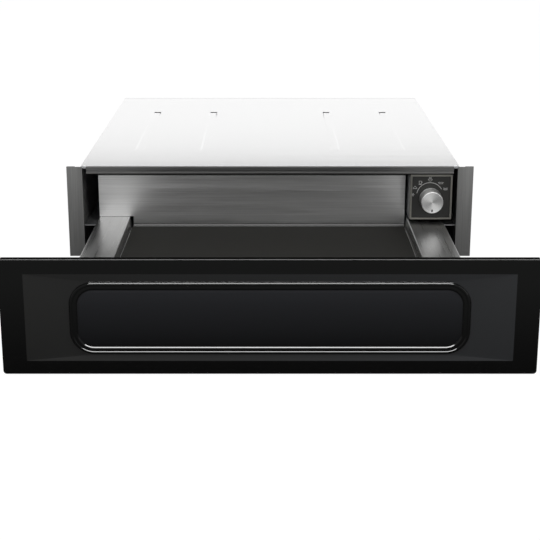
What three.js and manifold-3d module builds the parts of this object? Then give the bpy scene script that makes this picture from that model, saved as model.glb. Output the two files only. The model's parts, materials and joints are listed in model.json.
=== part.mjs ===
// A built-in warming drawer of the 14 cm class, with its drawer pulled out.
// Millimetres. +X is the user's right, +Y the back, +Z up. The origin is the middle of the housing's underside.
// The drawer's pieces are drawn where they stand when it is shut, and their groups then slide forward.
import * as THREE from 'three';
import { mergeVertices } from 'three/addons/utils/BufferGeometryUtils.js';
import Module from 'manifold-3d';

const wasm = await Module();
wasm.setup();

// ---------------------------------------------------------------- driving dimensions

const sheet = 1.2; // steel sheet of the housing and the drawer
const gap = 0.3; // air left between pieces that seat on each other
const bend = 1.6; // radius of a fold on its outer face

const housingWidth = 548;
const housingDepth = 545;
const housingHeight = 135;
const wallFlange = 7; // turned-in edges of the side walls
const ribDepth = 2; // pressed stiffening ribs
const ribWidth = 14;
const baseRibPitch = 90;
const coverRibPitch = 100;
const ribsAt = [-2, -1, 1, 2]; // in pitches from the middle
const ribInset = 30; // how far the ribs end short of what stands beside them
const baseLip = 10; // upturned front edge of the base

const stileReach = 20; // how far a stile stands out past the housing's side
const stileLeg = 30; // depth of the leg inside the side wall
const stileDepth = 4; // over the stile's face and the edge turned in behind it
const stileHem = 12; // width of that edge, which bears on the cabinet
const stripDepth = 6;
const stripHeight = 11.5;
const stripFace = 5.6; // height of the strip's upper face
const stripGroove = 2.2;
const stripSlant = 0.2; // how far the groove's faces lean
const stripStep = 0.5; // how far the lower face stands back
const stripNose = 1; // chamfer of its lower edge

const unitRoom = 148.5; // depth that the heating unit and the drawer's back take from the travel
const shutGap = 4; // air between the front and the stiles when shut

const frontOverhang = 4.5; // how far the front covers more than the stiles at each side
const frontRise = 1; // how far its top stands above the housing
const frontBottom = 1;
const frontCorner = 4;
const panelDepth = 8; // folded depth of the front pressing
const panelEdge = 1; // rounded edge of the pressing
const panelHem = 12; // edge turned in behind the pressing, on which the liner stands
const borderSide = 27.3;
const borderTop = 18;
const borderBottom = 14;
const facetSide = 50.6;
const facetHeight = 10.6;
const facetDepth = 2.4;
const beadWidth = 6.4;
const beadRise = 2.2;
const fieldDepth = 1.3;
const fieldCorner = 19;

const linerDepth = 18;
const linerInsetSide = 7;
const linerInsetTop = 9.5;
const linerInsetBottom = 10;
const linerCorner = 6;
const pocketRadius = 24; // recess in the liner for the knob
const pocketClear = 2.5; // air between the knob's face and the recess when shut
const pocketFlange = [6, 1.5]; // reach and thickness of the cup's flange inside the liner
const pocketHole = 27.5; // half width of the eight-sided hole that the flange covers
const sealWidth = 7;
const sealFoot = 0.9; // thickness of the seal's foot
const sealClear = 2; // between the side seals and the top one
const sealInset = 0.5; // the top seal's distance inside the liner's edge

const trayAir = 20.5; // between the tray's edge and the housing's side
const ledgeRise = 5; // the ledges' height above the runners
const ledgeLip = 3.5;
const ledgeOverhang = 2.1; // how far the ledge's edge stands out past the runner's back
const leftLedge = 46;
const rightLedge = 51;
const wellDepth = 16;
const wellSlope = 1.5; // how far the well's walls lean in
const matThickness = 1.7;
const matCorner = 4;

const rearWallSetback = 34; // rear wall's distance behind the stiles when open
const rearWallAir = 17; // opening for the warm air above the rear wall
const rearWallClear = 3.6; // between the rear wall and the control unit
const rearWallFoot = 5.5;
const rearWallCove = 4;
const rearWallHem = 6;

const sideFlange = 14; // folded edges of the drawer's side members
const sideBottom = 20;
const railHeight = 36;
const railThickness = 12.7;
const railSpare = 30; // how much longer the runners are than the travel
const railFront = 8; // rail's distance behind the stiles
const railBottom = 10;
const railSheet = 1.2;
const outerFlange = 10; // width of each rail member across its flanges
const middleFlange = 8.8;
const railLip = 2.4; // turned-in edge of the outer member
const ballDiameter = 3.2;
const ballsPerRow = 5;
const cageSheet = 0.6;
const cageBend = 0.9;
const cageLength = 180;
const cageMouth = 2.2; // a cage's distance inside the member's mouth
const outerCageStart = 38; // cages' distances from the ends of their runs
const innerCageEnd = 20;
const bracketFoot = 20; // foot of the bracket that carries a runner

const crossWidth = 30;
const crossFlange = 9;
const crossFrontY = 58; // behind the liner's back
const crossRearInset = 66; // ahead of the rear wall
const cornerBracket = [24, 40]; // legs of the brackets that hold the front
const cornerBracketInset = 2;

const latchLength = 50;
const latchWidth = 26;
const latchHeight = 18;
const latchStroke = 5;
const latchWall = 1.5;
const latchEar = 9;
const latchEarInset = 8;
const latchEarHeight = 3;
const plungerDiameter = 8;
const plungerReach = 8;
const strikerLength = 22;
const strikerWidth = 24;
const strikerOverlap = 1; // how far the striker reaches below the plunger's middle

const controlWidth = 60.7;
const controlInset = 8.8; // from the housing's side wall
const controlHeight = 66.8;
const controlBorder = 2.6;
const controlBoxDepth = 80;
const wireHole = 14;
const fasciaThickness = 2;
const fasciaRecess = 1;
const dialAt = [29.7, 30.4]; // from the unit's lower left corner
const knobDiameter = 32;
const knobProud = 20;
const knobSkirt = 1.4;
const knobSkirtWidth = 0.6;
const knobHollow = 0.9; // how far the face is dished at the middle
const pointerWidth = 2;
const pointerLength = 4.6;
const pointerInset = 1.2;
const pointerDepth = 0.5;
const spindleDiameter = 6;
const spindleInKnob = 12;
const spindleFlat = 0.55; // height of the flat, as a share of the radius
const thermostatDiameter = 36;
const thermostatDepth = 24;
const thermostatTab = [6, 9]; // width and length of a connection tab
const tabThickness = 0.8;

const partitionSetback = 16; // behind the shut drawer's rear wall
const partitionFlange = 12;
const sheetCut = 1; // how far a cutter passes through a sheet
const slotWidth = 4;
const slotPitch = 11;
const outletSlots = 15;
const outletBottom = 108;
const outletTop = 124;
const inletSlots = 12;
const inletStart = 16; // the inlet slots' ends, from the fan's axis
const inletEnd = 42;
const fanDistance = 104; // from the heater's end
const fanZ = 62;
const impellerDiameter = 80;
const impellerDepth = 18;
const bladeCount = 9;
const bladeThickness = 1.2;
const bladeSweep = 0.5; // how far a blade's tip lags its root, in radians
const impellerGap = 3; // between the housing's plate and the impeller
const hubDiameter = 20;
const fanShroud = 92; // inner diameter of the fan's ring
const shroudDepth = 26;
const shroudWall = 1.6;
const shroudPlate = 104;
const fanShaft = 5;
const shaftStart = 4; // how far inside the hub the shaft ends
const motorDiameter = 46;
const motorDepth = 28;
const motorEdge = 3;
const motorArms = 3;
const motorArm = [10, 3]; // width and thickness

const heaterRod = 6.5;
const heaterInset = 36.8; // from the housing's side wall
const heaterLength = 152;
const heaterBottom = 26;
const heaterPitch = 22;
const heaterRuns = 4;
const heaterStandoff = 16;
const heaterTail = 26; // how far both ends run on past the bends
const heaterSides = 10;
const heaterSteps = 6; // rings in each half turn
const strapWidth = 8;
const strapInset = 34;

const cutoutDistance = 26; // from the heater's end
const cutoutZ = 104;
const cutoutDiameter = 15;
const cutoutDepth = 12;
const cutoutStep = [1.5, 4]; // how far the can narrows, and where
const cutoutEar = [5, 8]; // reach and height
const cutoutTabLength = 8;
const terminalDistance = 64; // from the cable gland
const terminalWidth = 54;
const terminalDepth = 24;
const terminalHeight = 26;
const terminalSetback = 14;
const terminalPoles = [-1, 0, 1];
const terminalPitch = 16;
const terminalWell = [12, 10, 8]; // width, depth and floor height
const terminalScrewWell = [10, 6, 10];
const glandInset = 58.8; // from the housing's side wall
const glandZ = 34;
const glandBore = 9;
const glandThread = 20;
const glandNut = 27;
const glandReach = 16;
const glandNutDepth = 8;
const glandCap = [5, 2]; // straight part of the outer nut, then its shoulder
const ventSlots = 9;
const coolingSlots = 6; // slots in each side wall
const coolingStart = 20;
const ventHeight = 34;

// ---------------------------------------------------------------- planes worked out from them

const frameY = -housingDepth / 2;
const rearY = housingDepth / 2;
const sheetFront = frameY + sheet + gap; // front edge of the sheets behind the stiles
const sheetRear = rearY - sheet - gap;
const wallInner = housingWidth / 2 - sheet;
const openTravel = housingDepth - unitRoom; // how far the drawer runs out
const railLength = openTravel + railSpare;
const frameWidth = housingWidth + 2 * stileReach;
const frontWidth = frameWidth + 2 * frontOverhang;
const trayWidth = housingWidth - 2 * trayAir;
const baseSeat = sheet + gap; // what stands on the base starts here
const coverSeat = housingHeight - sheet - gap; // what hangs under the cover ends here
const stripBottom = housingHeight - stripHeight;
const stripEnd = wallInner - wallFlange - gap;
const linerBackY = frameY - shutGap;
const linerFrontY = linerBackY - linerDepth;
const frontFaceY = linerFrontY - panelDepth;
const frontTop = housingHeight + frontRise;
const ledgeTop = railBottom + railHeight + ledgeRise;
const floorTop = ledgeTop - wellDepth;
const wellLeft = leftLedge - trayWidth / 2; // inner edges of the ledges
const wellRight = trayWidth / 2 - rightLedge;
const controlRight = wallInner - controlInset;
const controlLeft = controlRight - controlWidth;
const controlTop = housingHeight - stripHeight - gap;
const controlBottom = controlTop - controlHeight;
const dialX = controlLeft + dialAt[0];
const dialZ = controlBottom + dialAt[1];
const rearWallTop = housingHeight - rearWallAir;
const rearWallRight = controlLeft - rearWallClear;
const rearWallY = frameY + openTravel + rearWallSetback;
const partitionY = rearWallY + partitionSetback;
const railBackX = trayWidth / 2 - ledgeOverhang;
const bracketX = railBackX + gap; // inner face of the rail bracket
const sideX = railBackX - railThickness - gap; // outer face of the drawer's side member
const railZ = railBottom + railHeight / 2;
const latchY = linerBackY + crossFrontY + strikerLength + gap + plungerReach;
const latchEnd = latchY + latchLength;
const plungerZ = baseSeat + latchHeight - latchWall - gap - plungerDiameter / 2;
const strikerBottom = plungerZ - strikerOverlap;
const heaterLeft = heaterInset - wallInner;
const heaterRight = heaterLeft + heaterLength;
const heaterMiddle = (heaterLeft + heaterRight) / 2;
const fanX = heaterRight + fanDistance;
const cutoutX = heaterRight + cutoutDistance;
const glandX = wallInner - glandInset;
const terminalX = glandX - terminalDistance;

// ---------------------------------------------------------------- finishes

function finish(color, roughness, metalness) {
  return new THREE.MeshStandardMaterial({ color, roughness, metalness });
}

const finishes = {
  housing: finish(0x8f9294, 0.45, 0.9),
  frame: finish(0x6d6d6b, 0.4, 0.8),
  drawer: finish(0x9a9a9a, 0.35, 0.95),
  front: finish(0x1b1d1f, 0.3, 0.3),
  liner: finish(0x54565a, 0.5, 0.8),
  mat: finish(0x32302c, 0.9, 0),
  rail: finish(0xb2b5b8, 0.3, 1),
  fascia: finish(0x272725, 0.4, 0),
  knob: finish(0xd2d2d2, 0.25, 1),
  plastic: finish(0x202020, 0.6, 0),
  rubber: finish(0x1a1a1a, 0.9, 0),
  heater: finish(0x3c3632, 0.6, 0.7),
  pale: finish(0xd8d4c8, 0.7, 0),
};

// ---------------------------------------------------------------- shaping tools

const axisX = new THREE.Vector3(1, 0, 0);
const axisY = new THREE.Vector3(0, 1, 0);
const axisZ = new THREE.Vector3(0, 0, 1);
const sectionYZ = new THREE.Matrix4().makeBasis(axisY, axisZ, axisX);
const sectionXZ = new THREE.Matrix4().makeBasis(axisX, axisZ, axisY.clone().negate());

function solid(geometry) {
  const bare = geometry.index ? geometry.toNonIndexed() : geometry.clone();
  bare.deleteAttribute('normal');
  bare.deleteAttribute('uv');
  const welded = mergeVertices(bare, 1e-4);
  const corners = welded.index.array;
  const kept = [];
  for (let i = 0; i < corners.length; i += 3) {
    const [a, b, c] = [corners[i], corners[i + 1], corners[i + 2]];
    if (a !== b && b !== c && c !== a) kept.push(a, b, c);
  }
  const vertProperties = welded.attributes.position.array;
  return new wasm.Manifold(new wasm.Mesh({ numProp: 3, vertProperties, triVerts: new Uint32Array(kept) }));
}

function joined(solids) {
  return solids.reduce((whole, next) => whole.add(next));
}

function outline(points) {
  return new THREE.Shape(points.map(([a, b]) => new THREE.Vector2(a, b)));
}

function extruded(shape, length, curveSegments = 3) {
  return new THREE.ExtrudeGeometry(shape, { depth: length, bevelEnabled: false, curveSegments });
}

function alongX(shape, x0, x1) {
  return solid(extruded(shape, x1 - x0).applyMatrix4(sectionYZ).translate(x0, 0, 0));
}

function alongY(shape, y0, y1, curveSegments = 3) {
  return solid(extruded(shape, y1 - y0, curveSegments).applyMatrix4(sectionXZ).translate(0, y1, 0));
}

function alongZ(shape, z0, z1) {
  return solid(extruded(shape, z1 - z0).translate(0, 0, z0));
}

function block([x0, x1], [y0, y1], [z0, z1]) {
  const box = new THREE.BoxGeometry(x1 - x0, y1 - y0, z1 - z0);
  return solid(box.translate((x0 + x1) / 2, (y0 + y1) / 2, (z0 + z1) / 2));
}

function rodY([x, z], radius, [y0, y1], sides = 20) {
  const rod = new THREE.CylinderGeometry(radius, radius, y1 - y0, sides);
  return solid(rod.translate(x, (y0 + y1) / 2, z));
}

// A turned piece about an axis along Y. The profile is [radius, y] from front to back.
function turnedY([x, z], profile, sides = 32) {
  const points = profile.map(([radius, y]) => new THREE.Vector2(radius, y));
  return solid(new THREE.LatheGeometry(points, sides).translate(x, 0, z));
}

function leftOf(from, to) {
  const along = to.clone().sub(from).normalize();
  return new THREE.Vector2(-along.y, along.x);
}

// Rounds the inner corners of a path, with each bend as a short arc.
function rounded(path, radius, steps = 3) {
  const points = path.map(([a, b]) => new THREE.Vector2(a, b));
  const result = [points[0]];
  for (let i = 1; i < points.length - 1; i++) {
    const back = points[i - 1].clone().sub(points[i]).normalize();
    const ahead = points[i + 1].clone().sub(points[i]).normalize();
    const half = Math.acos(THREE.MathUtils.clamp(back.dot(ahead), -1, 1)) / 2;
    const reach = radius / Math.tan(half);
    const start = points[i].clone().addScaledVector(back, reach);
    const end = points[i].clone().addScaledVector(ahead, reach);
    const curve = new THREE.QuadraticBezierCurve(start, points[i], end);
    result.push(...curve.getPoints(steps));
  }
  result.push(points[points.length - 1]);
  return result;
}

// The section of a folded sheet. The path is one face, and the sheet's thickness lies to its left.
function folded(path, thickness, radius = bend) {
  const face = rounded(path, radius);
  const last = face.length - 1;
  const other = face.map((point, i) => {
    const before = leftOf(face[Math.max(i - 1, 0)], face[Math.max(i, 1)]);
    const after = leftOf(face[Math.min(i, last - 1)], face[Math.min(i + 1, last)]);
    const mitre = before.clone().add(after).divideScalar(1 + before.dot(after));
    return point.clone().addScaledVector(mitre, thickness);
  });
  return new THREE.Shape([...face, ...other.reverse()]);
}

function roundedRectangle(x0, x1, y0, y1, radius) {
  const shape = new THREE.Shape();
  shape.moveTo(x0 + radius, y0);
  shape.lineTo(x1 - radius, y0);
  shape.absarc(x1 - radius, y0 + radius, radius, -Math.PI / 2, 0);
  shape.lineTo(x1, y1 - radius);
  shape.absarc(x1 - radius, y1 - radius, radius, 0, Math.PI / 2);
  shape.lineTo(x0 + radius, y1);
  shape.absarc(x0 + radius, y1 - radius, radius, Math.PI / 2, Math.PI);
  shape.lineTo(x0, y0 + radius);
  shape.absarc(x0 + radius, y0 + radius, radius, Math.PI, Math.PI * 1.5);
  return shape;
}

// An upright slot's cutter, round at both ends, through a sheet that stands across Y.
function slotY([x0, x1], [z0, z1], [y0, y1]) {
  const radius = (x1 - x0) / 2;
  const middle = (x0 + x1) / 2;
  const shape = new THREE.Shape();
  shape.absarc(middle, z1 - radius, radius, 0, Math.PI);
  shape.absarc(middle, z0 + radius, radius, Math.PI, Math.PI * 2);
  return alongY(shape, y0, y1, 2);
}

// One turn of a rounded rectangle that faces the user, as points at depth y.
function loop({ halfWidth, bottom, top, corner, y }) {
  const cornerSteps = 6;
  const centres = [
    [halfWidth - corner, bottom + corner],
    [halfWidth - corner, top - corner],
    [corner - halfWidth, top - corner],
    [corner - halfWidth, bottom + corner],
  ];
  return centres.flatMap(([x, z], quarter) =>
    Array.from({ length: cornerSteps + 1 }, (_, step) => {
      const angle = ((quarter - 1) + step / cornerSteps) * Math.PI / 2;
      return new THREE.Vector3(x + corner * Math.cos(angle), y, z + corner * Math.sin(angle));
    }));
}

// Closed skin through a row of loops, from the middle of the front, out and round, to the middle of the back.
function lofted(loops) {
  const size = loops[0].length;
  const middle = (points) => points.reduce((sum, p) => sum.add(p), new THREE.Vector3()).divideScalar(size);
  const points = [...loops.flat(), middle(loops[0]), middle(loops[loops.length - 1])];
  const triangles = [];
  for (let i = 0; i < size; i++) {
    const next = (i + 1) % size;
    triangles.push(size * loops.length, i, next);
    for (let ring = 0; ring < loops.length - 1; ring++) {
      const [a, b] = [ring * size, (ring + 1) * size];
      triangles.push(a + i, b + i, b + next, a + i, b + next, a + next);
    }
    const end = (loops.length - 1) * size;
    triangles.push(end + i, size * loops.length + 1, end + next);
  }
  const geometry = new THREE.BufferGeometry().setFromPoints(points);
  geometry.setIndex(triangles);
  return solid(geometry);
}

function mirrored(body) {
  const mesh = body.getMesh();
  const points = Float32Array.from(mesh.vertProperties, (value, i) => (i % 3 === 0 ? -value : value));
  const triVerts = Uint32Array.from(mesh.triVerts, (_, i) => mesh.triVerts[i - (i % 3) + [0, 2, 1][i % 3]]);
  return new wasm.Manifold(new wasm.Mesh({ numProp: 3, vertProperties: points, triVerts }));
}

function piece(name, body, material) {
  const mesh = body.getMesh();
  const geometry = new THREE.BufferGeometry();
  geometry.setAttribute('position', new THREE.BufferAttribute(new Float32Array(mesh.vertProperties), 3));
  geometry.setIndex(new THREE.BufferAttribute(new Uint32Array(mesh.triVerts), 1));
  geometry.computeVertexNormals();
  const made = new THREE.Mesh(geometry, material);
  made.name = name;
  return made;
}

// Adds a right-hand piece and its mirror image.
function addPair(group, name, body, material) {
  group.add(piece(`${name}_right`, body, material));
  group.add(piece(`${name}_left`, mirrored(body), material));
}

// ---------------------------------------------------------------- housing shell

function ribAlongY(x, [y0, y1], [faceZ, rise]) {
  const half = ribWidth / 2;
  const crown = half - Math.abs(rise);
  const shape = outline([[x - half, faceZ], [x + half, faceZ], [x + crown, faceZ + rise], [x - crown, faceZ + rise]]);
  return alongY(shape, y0, y1);
}

function basePan() {
  const ribRange = [frameY + 2 * ribInset, rearWallY - ribInset];
  const half = housingWidth / 2;
  const plate = alongX(folded([[sheetRear, 0], [sheetFront, 0], [sheetFront, baseLip]], -sheet), -half, half);
  const lipHalf = bracketX - gap - bend;
  const relief = block([lipHalf, half + 1], [sheetFront - 1, sheetFront + 2 * bend], [-1, baseLip + 1]);
  const raised = joined(ribsAt.map((n) => ribAlongY(n * baseRibPitch, ribRange, [sheet, ribDepth])));
  const pressed = joined(ribsAt.map((n) => ribAlongY(n * baseRibPitch, ribRange, [0, ribDepth])));
  return plate.add(raised).subtract(joined([pressed, relief, mirrored(relief)]));
}

function topCover() {
  const half = housingWidth / 2;
  const bottom = housingHeight - sheet;
  const plate = block([-half, half], [frameY + stripDepth + gap, sheetRear], [bottom, housingHeight]);
  const ribRange = [frameY + controlBoxDepth + ribInset, partitionY - ribInset];
  const under = joined(ribsAt.map((n) => ribAlongY(n * coverRibPitch, ribRange, [bottom, -ribDepth])));
  const pressed = joined(ribsAt.map((n) => ribAlongY(n * coverRibPitch, ribRange, [housingHeight, -ribDepth])));
  return plate.add(under).subtract(pressed);
}

const legRange = [baseSeat + sheet + gap, coverSeat - sheet - gap]; // heights of the legs inside the side walls

function slotRow(middle, count, heights, through) {
  return Array.from({ length: count }, (_, i) => {
    const x = middle + (i - (count - 1) / 2) * slotPitch;
    return slotY([x - slotWidth / 2, x + slotWidth / 2], heights, through);
  });
}

function slotRange(middle) {
  return [middle - ventHeight / 2, middle + ventHeight / 2];
}

function sideWall() {
  const outer = housingWidth / 2;
  const inner = outer - sheet - wallFlange;
  const path = [[inner, baseSeat], [outer, baseSeat], [outer, coverSeat], [inner, coverSeat]];
  const wall = alongY(folded(path, sheet), sheetFront, sheetRear);
  const slots = Array.from({ length: coolingSlots }, (_, i) => {
    const y = partitionY + coolingStart + i * slotPitch;
    return block([inner, outer + sheetCut], [y, y + slotWidth], slotRange(housingHeight / 2));
  });
  return wall.subtract(joined(slots));
}

function rearPanel() {
  const outer = housingWidth / 2;
  const legX = wallInner - gap;
  const plate = block([-outer, outer], [rearY - sheet, rearY], [gap, housingHeight]);
  const leg = block([legX - sheet, legX], [rearY - stileLeg / 2, rearY], legRange);
  const through = [rearY - sheet - sheetCut, rearY + sheetCut];
  const slots = [heaterMiddle, fanX].flatMap((middle) => slotRow(middle, ventSlots, slotRange(fanZ), through));
  const glandHole = rodY([glandX, glandZ], glandThread / 2 + gap, through);
  return plate.add(leg).add(mirrored(leg)).subtract(joined([...slots, glandHole]));
}

function stile() {
  const legX = wallInner - gap - sheet;
  const outer = frameWidth / 2;
  const back = frameY + stileDepth;
  const path = [[legX, frameY], [outer, frameY], [outer, back], [outer - stileHem, back]];
  const face = alongZ(folded(path, sheet), gap, housingHeight);
  const leg = block([legX, legX + sheet], [frameY, frameY + stileLeg], legRange);
  return joined([face, leg]);
}

function topStrip() {
  const faceEnd = housingHeight - stripFace;
  const grooveEnd = faceEnd - stripGroove;
  const groove = frameY + stripGroove - 2 * stripSlant;
  const lower = frameY + stripStep;
  const section = outline([
    [frameY, housingHeight], [frameY, faceEnd],
    [groove, faceEnd - stripSlant], [groove, grooveEnd],
    [lower, grooveEnd - stripSlant], [lower, stripBottom + stripNose],
    [lower + stripNose, stripBottom], [frameY + stripDepth, stripBottom], [frameY + stripDepth, housingHeight],
  ]);
  return alongX(section, -stripEnd, stripEnd);
}

function railBracket() {
  const top = railBottom + railHeight;
  const inner = bracketX;
  const footEnd = inner - bracketFoot;
  const armEnd = wallInner - gap - sheet - gap; // against the stile's leg
  const footTop = baseSeat + sheet;
  const path = [[armEnd, top], [inner, top], [inner, footTop], [footEnd, footTop]];
  return alongY(folded(path, sheet), railStart, railStart + railLength);
}

// ---------------------------------------------------------------- control unit

function controlBox() {
  const front = frameY + stripDepth + gap;
  const back = front + controlBoxDepth;
  const shell = block([controlLeft, controlRight], [front, back], [controlBottom, coverSeat]);
  const inside = block(
    [controlLeft + sheet, controlRight - sheet], [front - 1, back - sheet], [controlBottom + sheet, coverSeat - sheet]);
  const hole = rodY([dialX, coverSeat - wireHole], wireHole / 2, [back - sheet - sheetCut, back + sheetCut], 16);
  return shell.subtract(inside).subtract(hole);
}

function controlFrame() {
  const back = frameY + stripDepth;
  const ring = alongY(roundedRectangle(controlLeft, controlRight, controlBottom, controlTop, 1.2), frameY, back);
  const border = controlBorder;
  const hole = alongY(
    roundedRectangle(controlLeft + border, controlRight - border, controlBottom + border, controlTop - border, 0.8),
    frameY - sheetCut, back + sheetCut);
  return ring.subtract(hole);
}

function controlFascia() {
  const inset = controlBorder + gap;
  const front = frameY + fasciaRecess;
  const plate = alongY(
    roundedRectangle(controlLeft + inset, controlRight - inset, controlBottom + inset, controlTop - inset, 0.6),
    front, front + fasciaThickness);
  const through = [front - sheetCut, front + fasciaThickness + sheetCut];
  return plate.subtract(rodY([dialX, dialZ], spindleDiameter / 2 + 1, through));
}

const thermostatFront = frameY + fasciaRecess + fasciaThickness + gap;
const spindleEnd = thermostatFront + thermostatDepth / 2;

function thermostatBody() {
  const radius = thermostatDiameter / 2;
  const back = thermostatFront + thermostatDepth;
  const [tabWidth, tabLength] = thermostatTab;
  const can = turnedY([dialX, dialZ], [
    [0, thermostatFront], [radius - 1, thermostatFront], [radius, thermostatFront + 1], [radius, back - 2],
    [radius - 2, back], [0, back],
  ]);
  const tabs = [-1, 1].map((side) => {
    const x = dialX + side * (radius / 2);
    const heights = [dialZ - tabThickness / 2, dialZ + tabThickness / 2];
    return block([x - tabWidth / 2, x + tabWidth / 2], [back - 1, back + tabLength], heights);
  });
  const cut = rodY([dialX, dialZ], spindleDiameter / 2 + gap, [thermostatFront - 1, spindleEnd]);
  return joined([can, ...tabs]).subtract(cut);
}

function spindle() {
  const front = frameY - spindleInKnob;
  const radius = spindleDiameter / 2;
  const rod = rodY([dialX, dialZ], radius, [front, spindleEnd - gap]);
  const heights = [dialZ + radius * spindleFlat, dialZ + radius + 1];
  return rod.subtract(block([dialX - radius, dialX + radius], [front - 1, frameY - 1], heights));
}

function knob() {
  const front = frameY - knobProud;
  const back = frameY + fasciaRecess - gap;
  const radius = knobDiameter / 2;
  const skirt = radius + knobSkirtWidth;
  const body = turnedY([dialX, dialZ], [
    [0, front + knobHollow], [radius * 0.5, front + knobHollow * 0.78], [radius - 2.4, front + knobHollow * 0.28],
    [radius - 1.4, front], [radius - 0.5, front + 0.4], [radius - 0.2, front + 1.4],
    [radius, back - knobSkirt * 2], [skirt, back - knobSkirt], [skirt, back], [0, back],
  ], 48);
  const bore = rodY([dialX, dialZ], spindleDiameter / 2 + gap, [frameY - spindleInKnob - gap, back + 1]);
  const pointerFoot = dialZ - radius + pointerInset;
  const pointerFloor = front + knobHollow * 0.28 + pointerDepth;
  const pointer = block(
    [dialX - pointerWidth / 2, dialX + pointerWidth / 2], [front - 1, pointerFloor],
    [pointerFoot, pointerFoot + pointerLength]);
  return body.subtract(bore).subtract(pointer);
}

// ---------------------------------------------------------------- heating unit behind the drawer

const unitFront = partitionY + sheet + gap; // what is held on the partition's back starts here

function partition() {
  const half = wallInner - wallFlange - gap;
  const path = [
    [partitionY + partitionFlange, baseSeat], [partitionY, baseSeat],
    [partitionY, coverSeat], [partitionY + partitionFlange, coverSeat],
  ];
  const wall = alongX(folded(path, -sheet), -half, half);
  const through = [partitionY - sheetCut, partitionY + sheet + sheetCut];
  const outlets = slotRow(heaterMiddle, outletSlots, [outletBottom, outletTop], through);
  const inlets = Array.from({ length: inletSlots }, (_, i) => {
    const slot = slotY([-slotWidth / 2, slotWidth / 2], [inletStart, inletEnd], through);
    return slot.rotate([0, (i * 360) / inletSlots, 0]).translate([fanX, 0, fanZ]);
  });
  return wall.subtract(joined([...outlets, ...inlets]));
}

function fanHousing() {
  const half = shroudPlate / 2;
  const back = unitFront + shroudDepth;
  const outline = roundedRectangle(fanX - half, fanX + half, fanZ - half, fanZ + half, 6);
  const plate = alongY(outline, unitFront, unitFront + sheet);
  const tube = rodY([fanX, fanZ], fanShroud / 2 + shroudWall, [unitFront, back], 40);
  const bore = rodY([fanX, fanZ], fanShroud / 2, [unitFront - sheetCut, back + sheetCut], 40);
  return plate.add(tube).subtract(bore);
}

function fanImpeller() {
  const front = unitFront + impellerGap;
  const back = front + impellerDepth;
  const tip = impellerDiameter / 2;
  const root = hubDiameter / 2;
  const hub = turnedY([0, 0], [[0, front], [root - 2, front], [root, front + 2], [root, back], [0, back]], 24);
  const disc = rodY([0, 0], tip, [back - sheet, back], 36);
  const blades = Array.from({ length: bladeCount }, (_, i) => {
    const inner = [];
    const outer = [];
    for (let step = 0; step <= 4; step++) {
      const radius = root - 1 + (tip - root) * (step / 4);
      const angle = (i * 2 * Math.PI) / bladeCount + bladeSweep * (step / 4) ** 2;
      const lift = bladeThickness / 2 / radius;
      inner.push([radius * Math.cos(angle - lift), radius * Math.sin(angle - lift)]);
      outer.push([radius * Math.cos(angle + lift), radius * Math.sin(angle + lift)]);
    }
    return alongY(outline([...inner, ...outer.reverse()]), front + 1, back - sheet / 2);
  });
  const bore = rodY([0, 0], fanShaft / 2 + gap, [front + shaftStart, back + 1], 16);
  return joined([hub, disc, ...blades]).subtract(bore).translate([fanX, 0, fanZ]);
}

function fanMotor() {
  const face = unitFront + shroudDepth + gap;
  const back = face + motorDepth;
  const radius = motorDiameter / 2;
  const shaft = fanShaft / 2;
  const shaftFront = unitFront + impellerGap + shaftStart + gap;
  const body = turnedY([0, 0], [
    [0, shaftFront], [shaft, shaftFront], [shaft, face], [radius - motorEdge, face], [radius, face + motorEdge],
    [radius, back - motorEdge], [radius - motorEdge, back], [0, back],
  ], 24);
  const ring = fanShroud / 2 + shroudWall;
  const [armWidth, armThickness] = motorArm;
  const arms = Array.from({ length: motorArms }, (_, i) => {
    const arm = block([radius - 2 * motorEdge, ring], [face, face + armThickness], [-armWidth / 2, armWidth / 2]);
    return arm.rotate([0, 90 + (i * 360) / motorArms, 0]);
  });
  return joined([body, ...arms]).translate([fanX, 0, fanZ]);
}

// The rod's middle line: straight runs to and fro across the outlet, with a half turn between each two.
function heaterLine() {
  const turn = heaterPitch / 2;
  const tailX = heaterRight + heaterTail;
  const stations = [{ x: tailX, z: heaterBottom, angle: Math.PI }];
  for (let bendAt = 0; bendAt < heaterRuns - 1; bendAt++) {
    const side = bendAt % 2 === 0 ? -1 : 1;
    const centreX = side < 0 ? heaterLeft + turn : heaterRight - turn;
    const centreZ = heaterBottom + bendAt * heaterPitch + turn;
    for (let step = 0; step <= heaterSteps; step++) {
      const swing = (Math.PI * step) / heaterSteps;
      stations.push({
        x: centreX + side * turn * Math.sin(swing),
        z: centreZ - turn * Math.cos(swing),
        angle: side < 0 ? Math.PI - swing : swing,
      });
    }
  }
  const goesRight = heaterRuns % 2 === 0;
  const top = heaterBottom + (heaterRuns - 1) * heaterPitch;
  stations.push({ x: goesRight ? tailX : heaterLeft, z: top, angle: goesRight ? 0 : Math.PI });
  return stations;
}

// One bent length of rod, held by two straps on the partition.
function heaterElement() {
  const y = unitFront + heaterStandoff;
  const radius = heaterRod / 2;
  const rings = heaterLine().map(({ x, z, angle }) => Array.from({ length: heaterSides }, (_, i) => {
    const around = (2 * Math.PI * i) / heaterSides;
    const across = radius * Math.cos(around);
    return new THREE.Vector3(x - across * Math.sin(angle), y + radius * Math.sin(around), z + across * Math.cos(angle));
  }));
  const bottom = heaterBottom - heaterRod;
  const top = heaterBottom + (heaterRuns - 1) * heaterPitch + heaterRod;
  const straps = [heaterLeft + strapInset, heaterRight - strapInset].map((x) => {
    const width = [x, x + strapWidth];
    const web = block(width, [y - 1, y + 1], [bottom, top]);
    const feet = [bottom, top - sheet].map((z) => block(width, [unitFront, y + 1], [z, z + sheet]));
    return joined([web, ...feet]);
  });
  return joined([lofted(rings), ...straps]);
}

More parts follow.
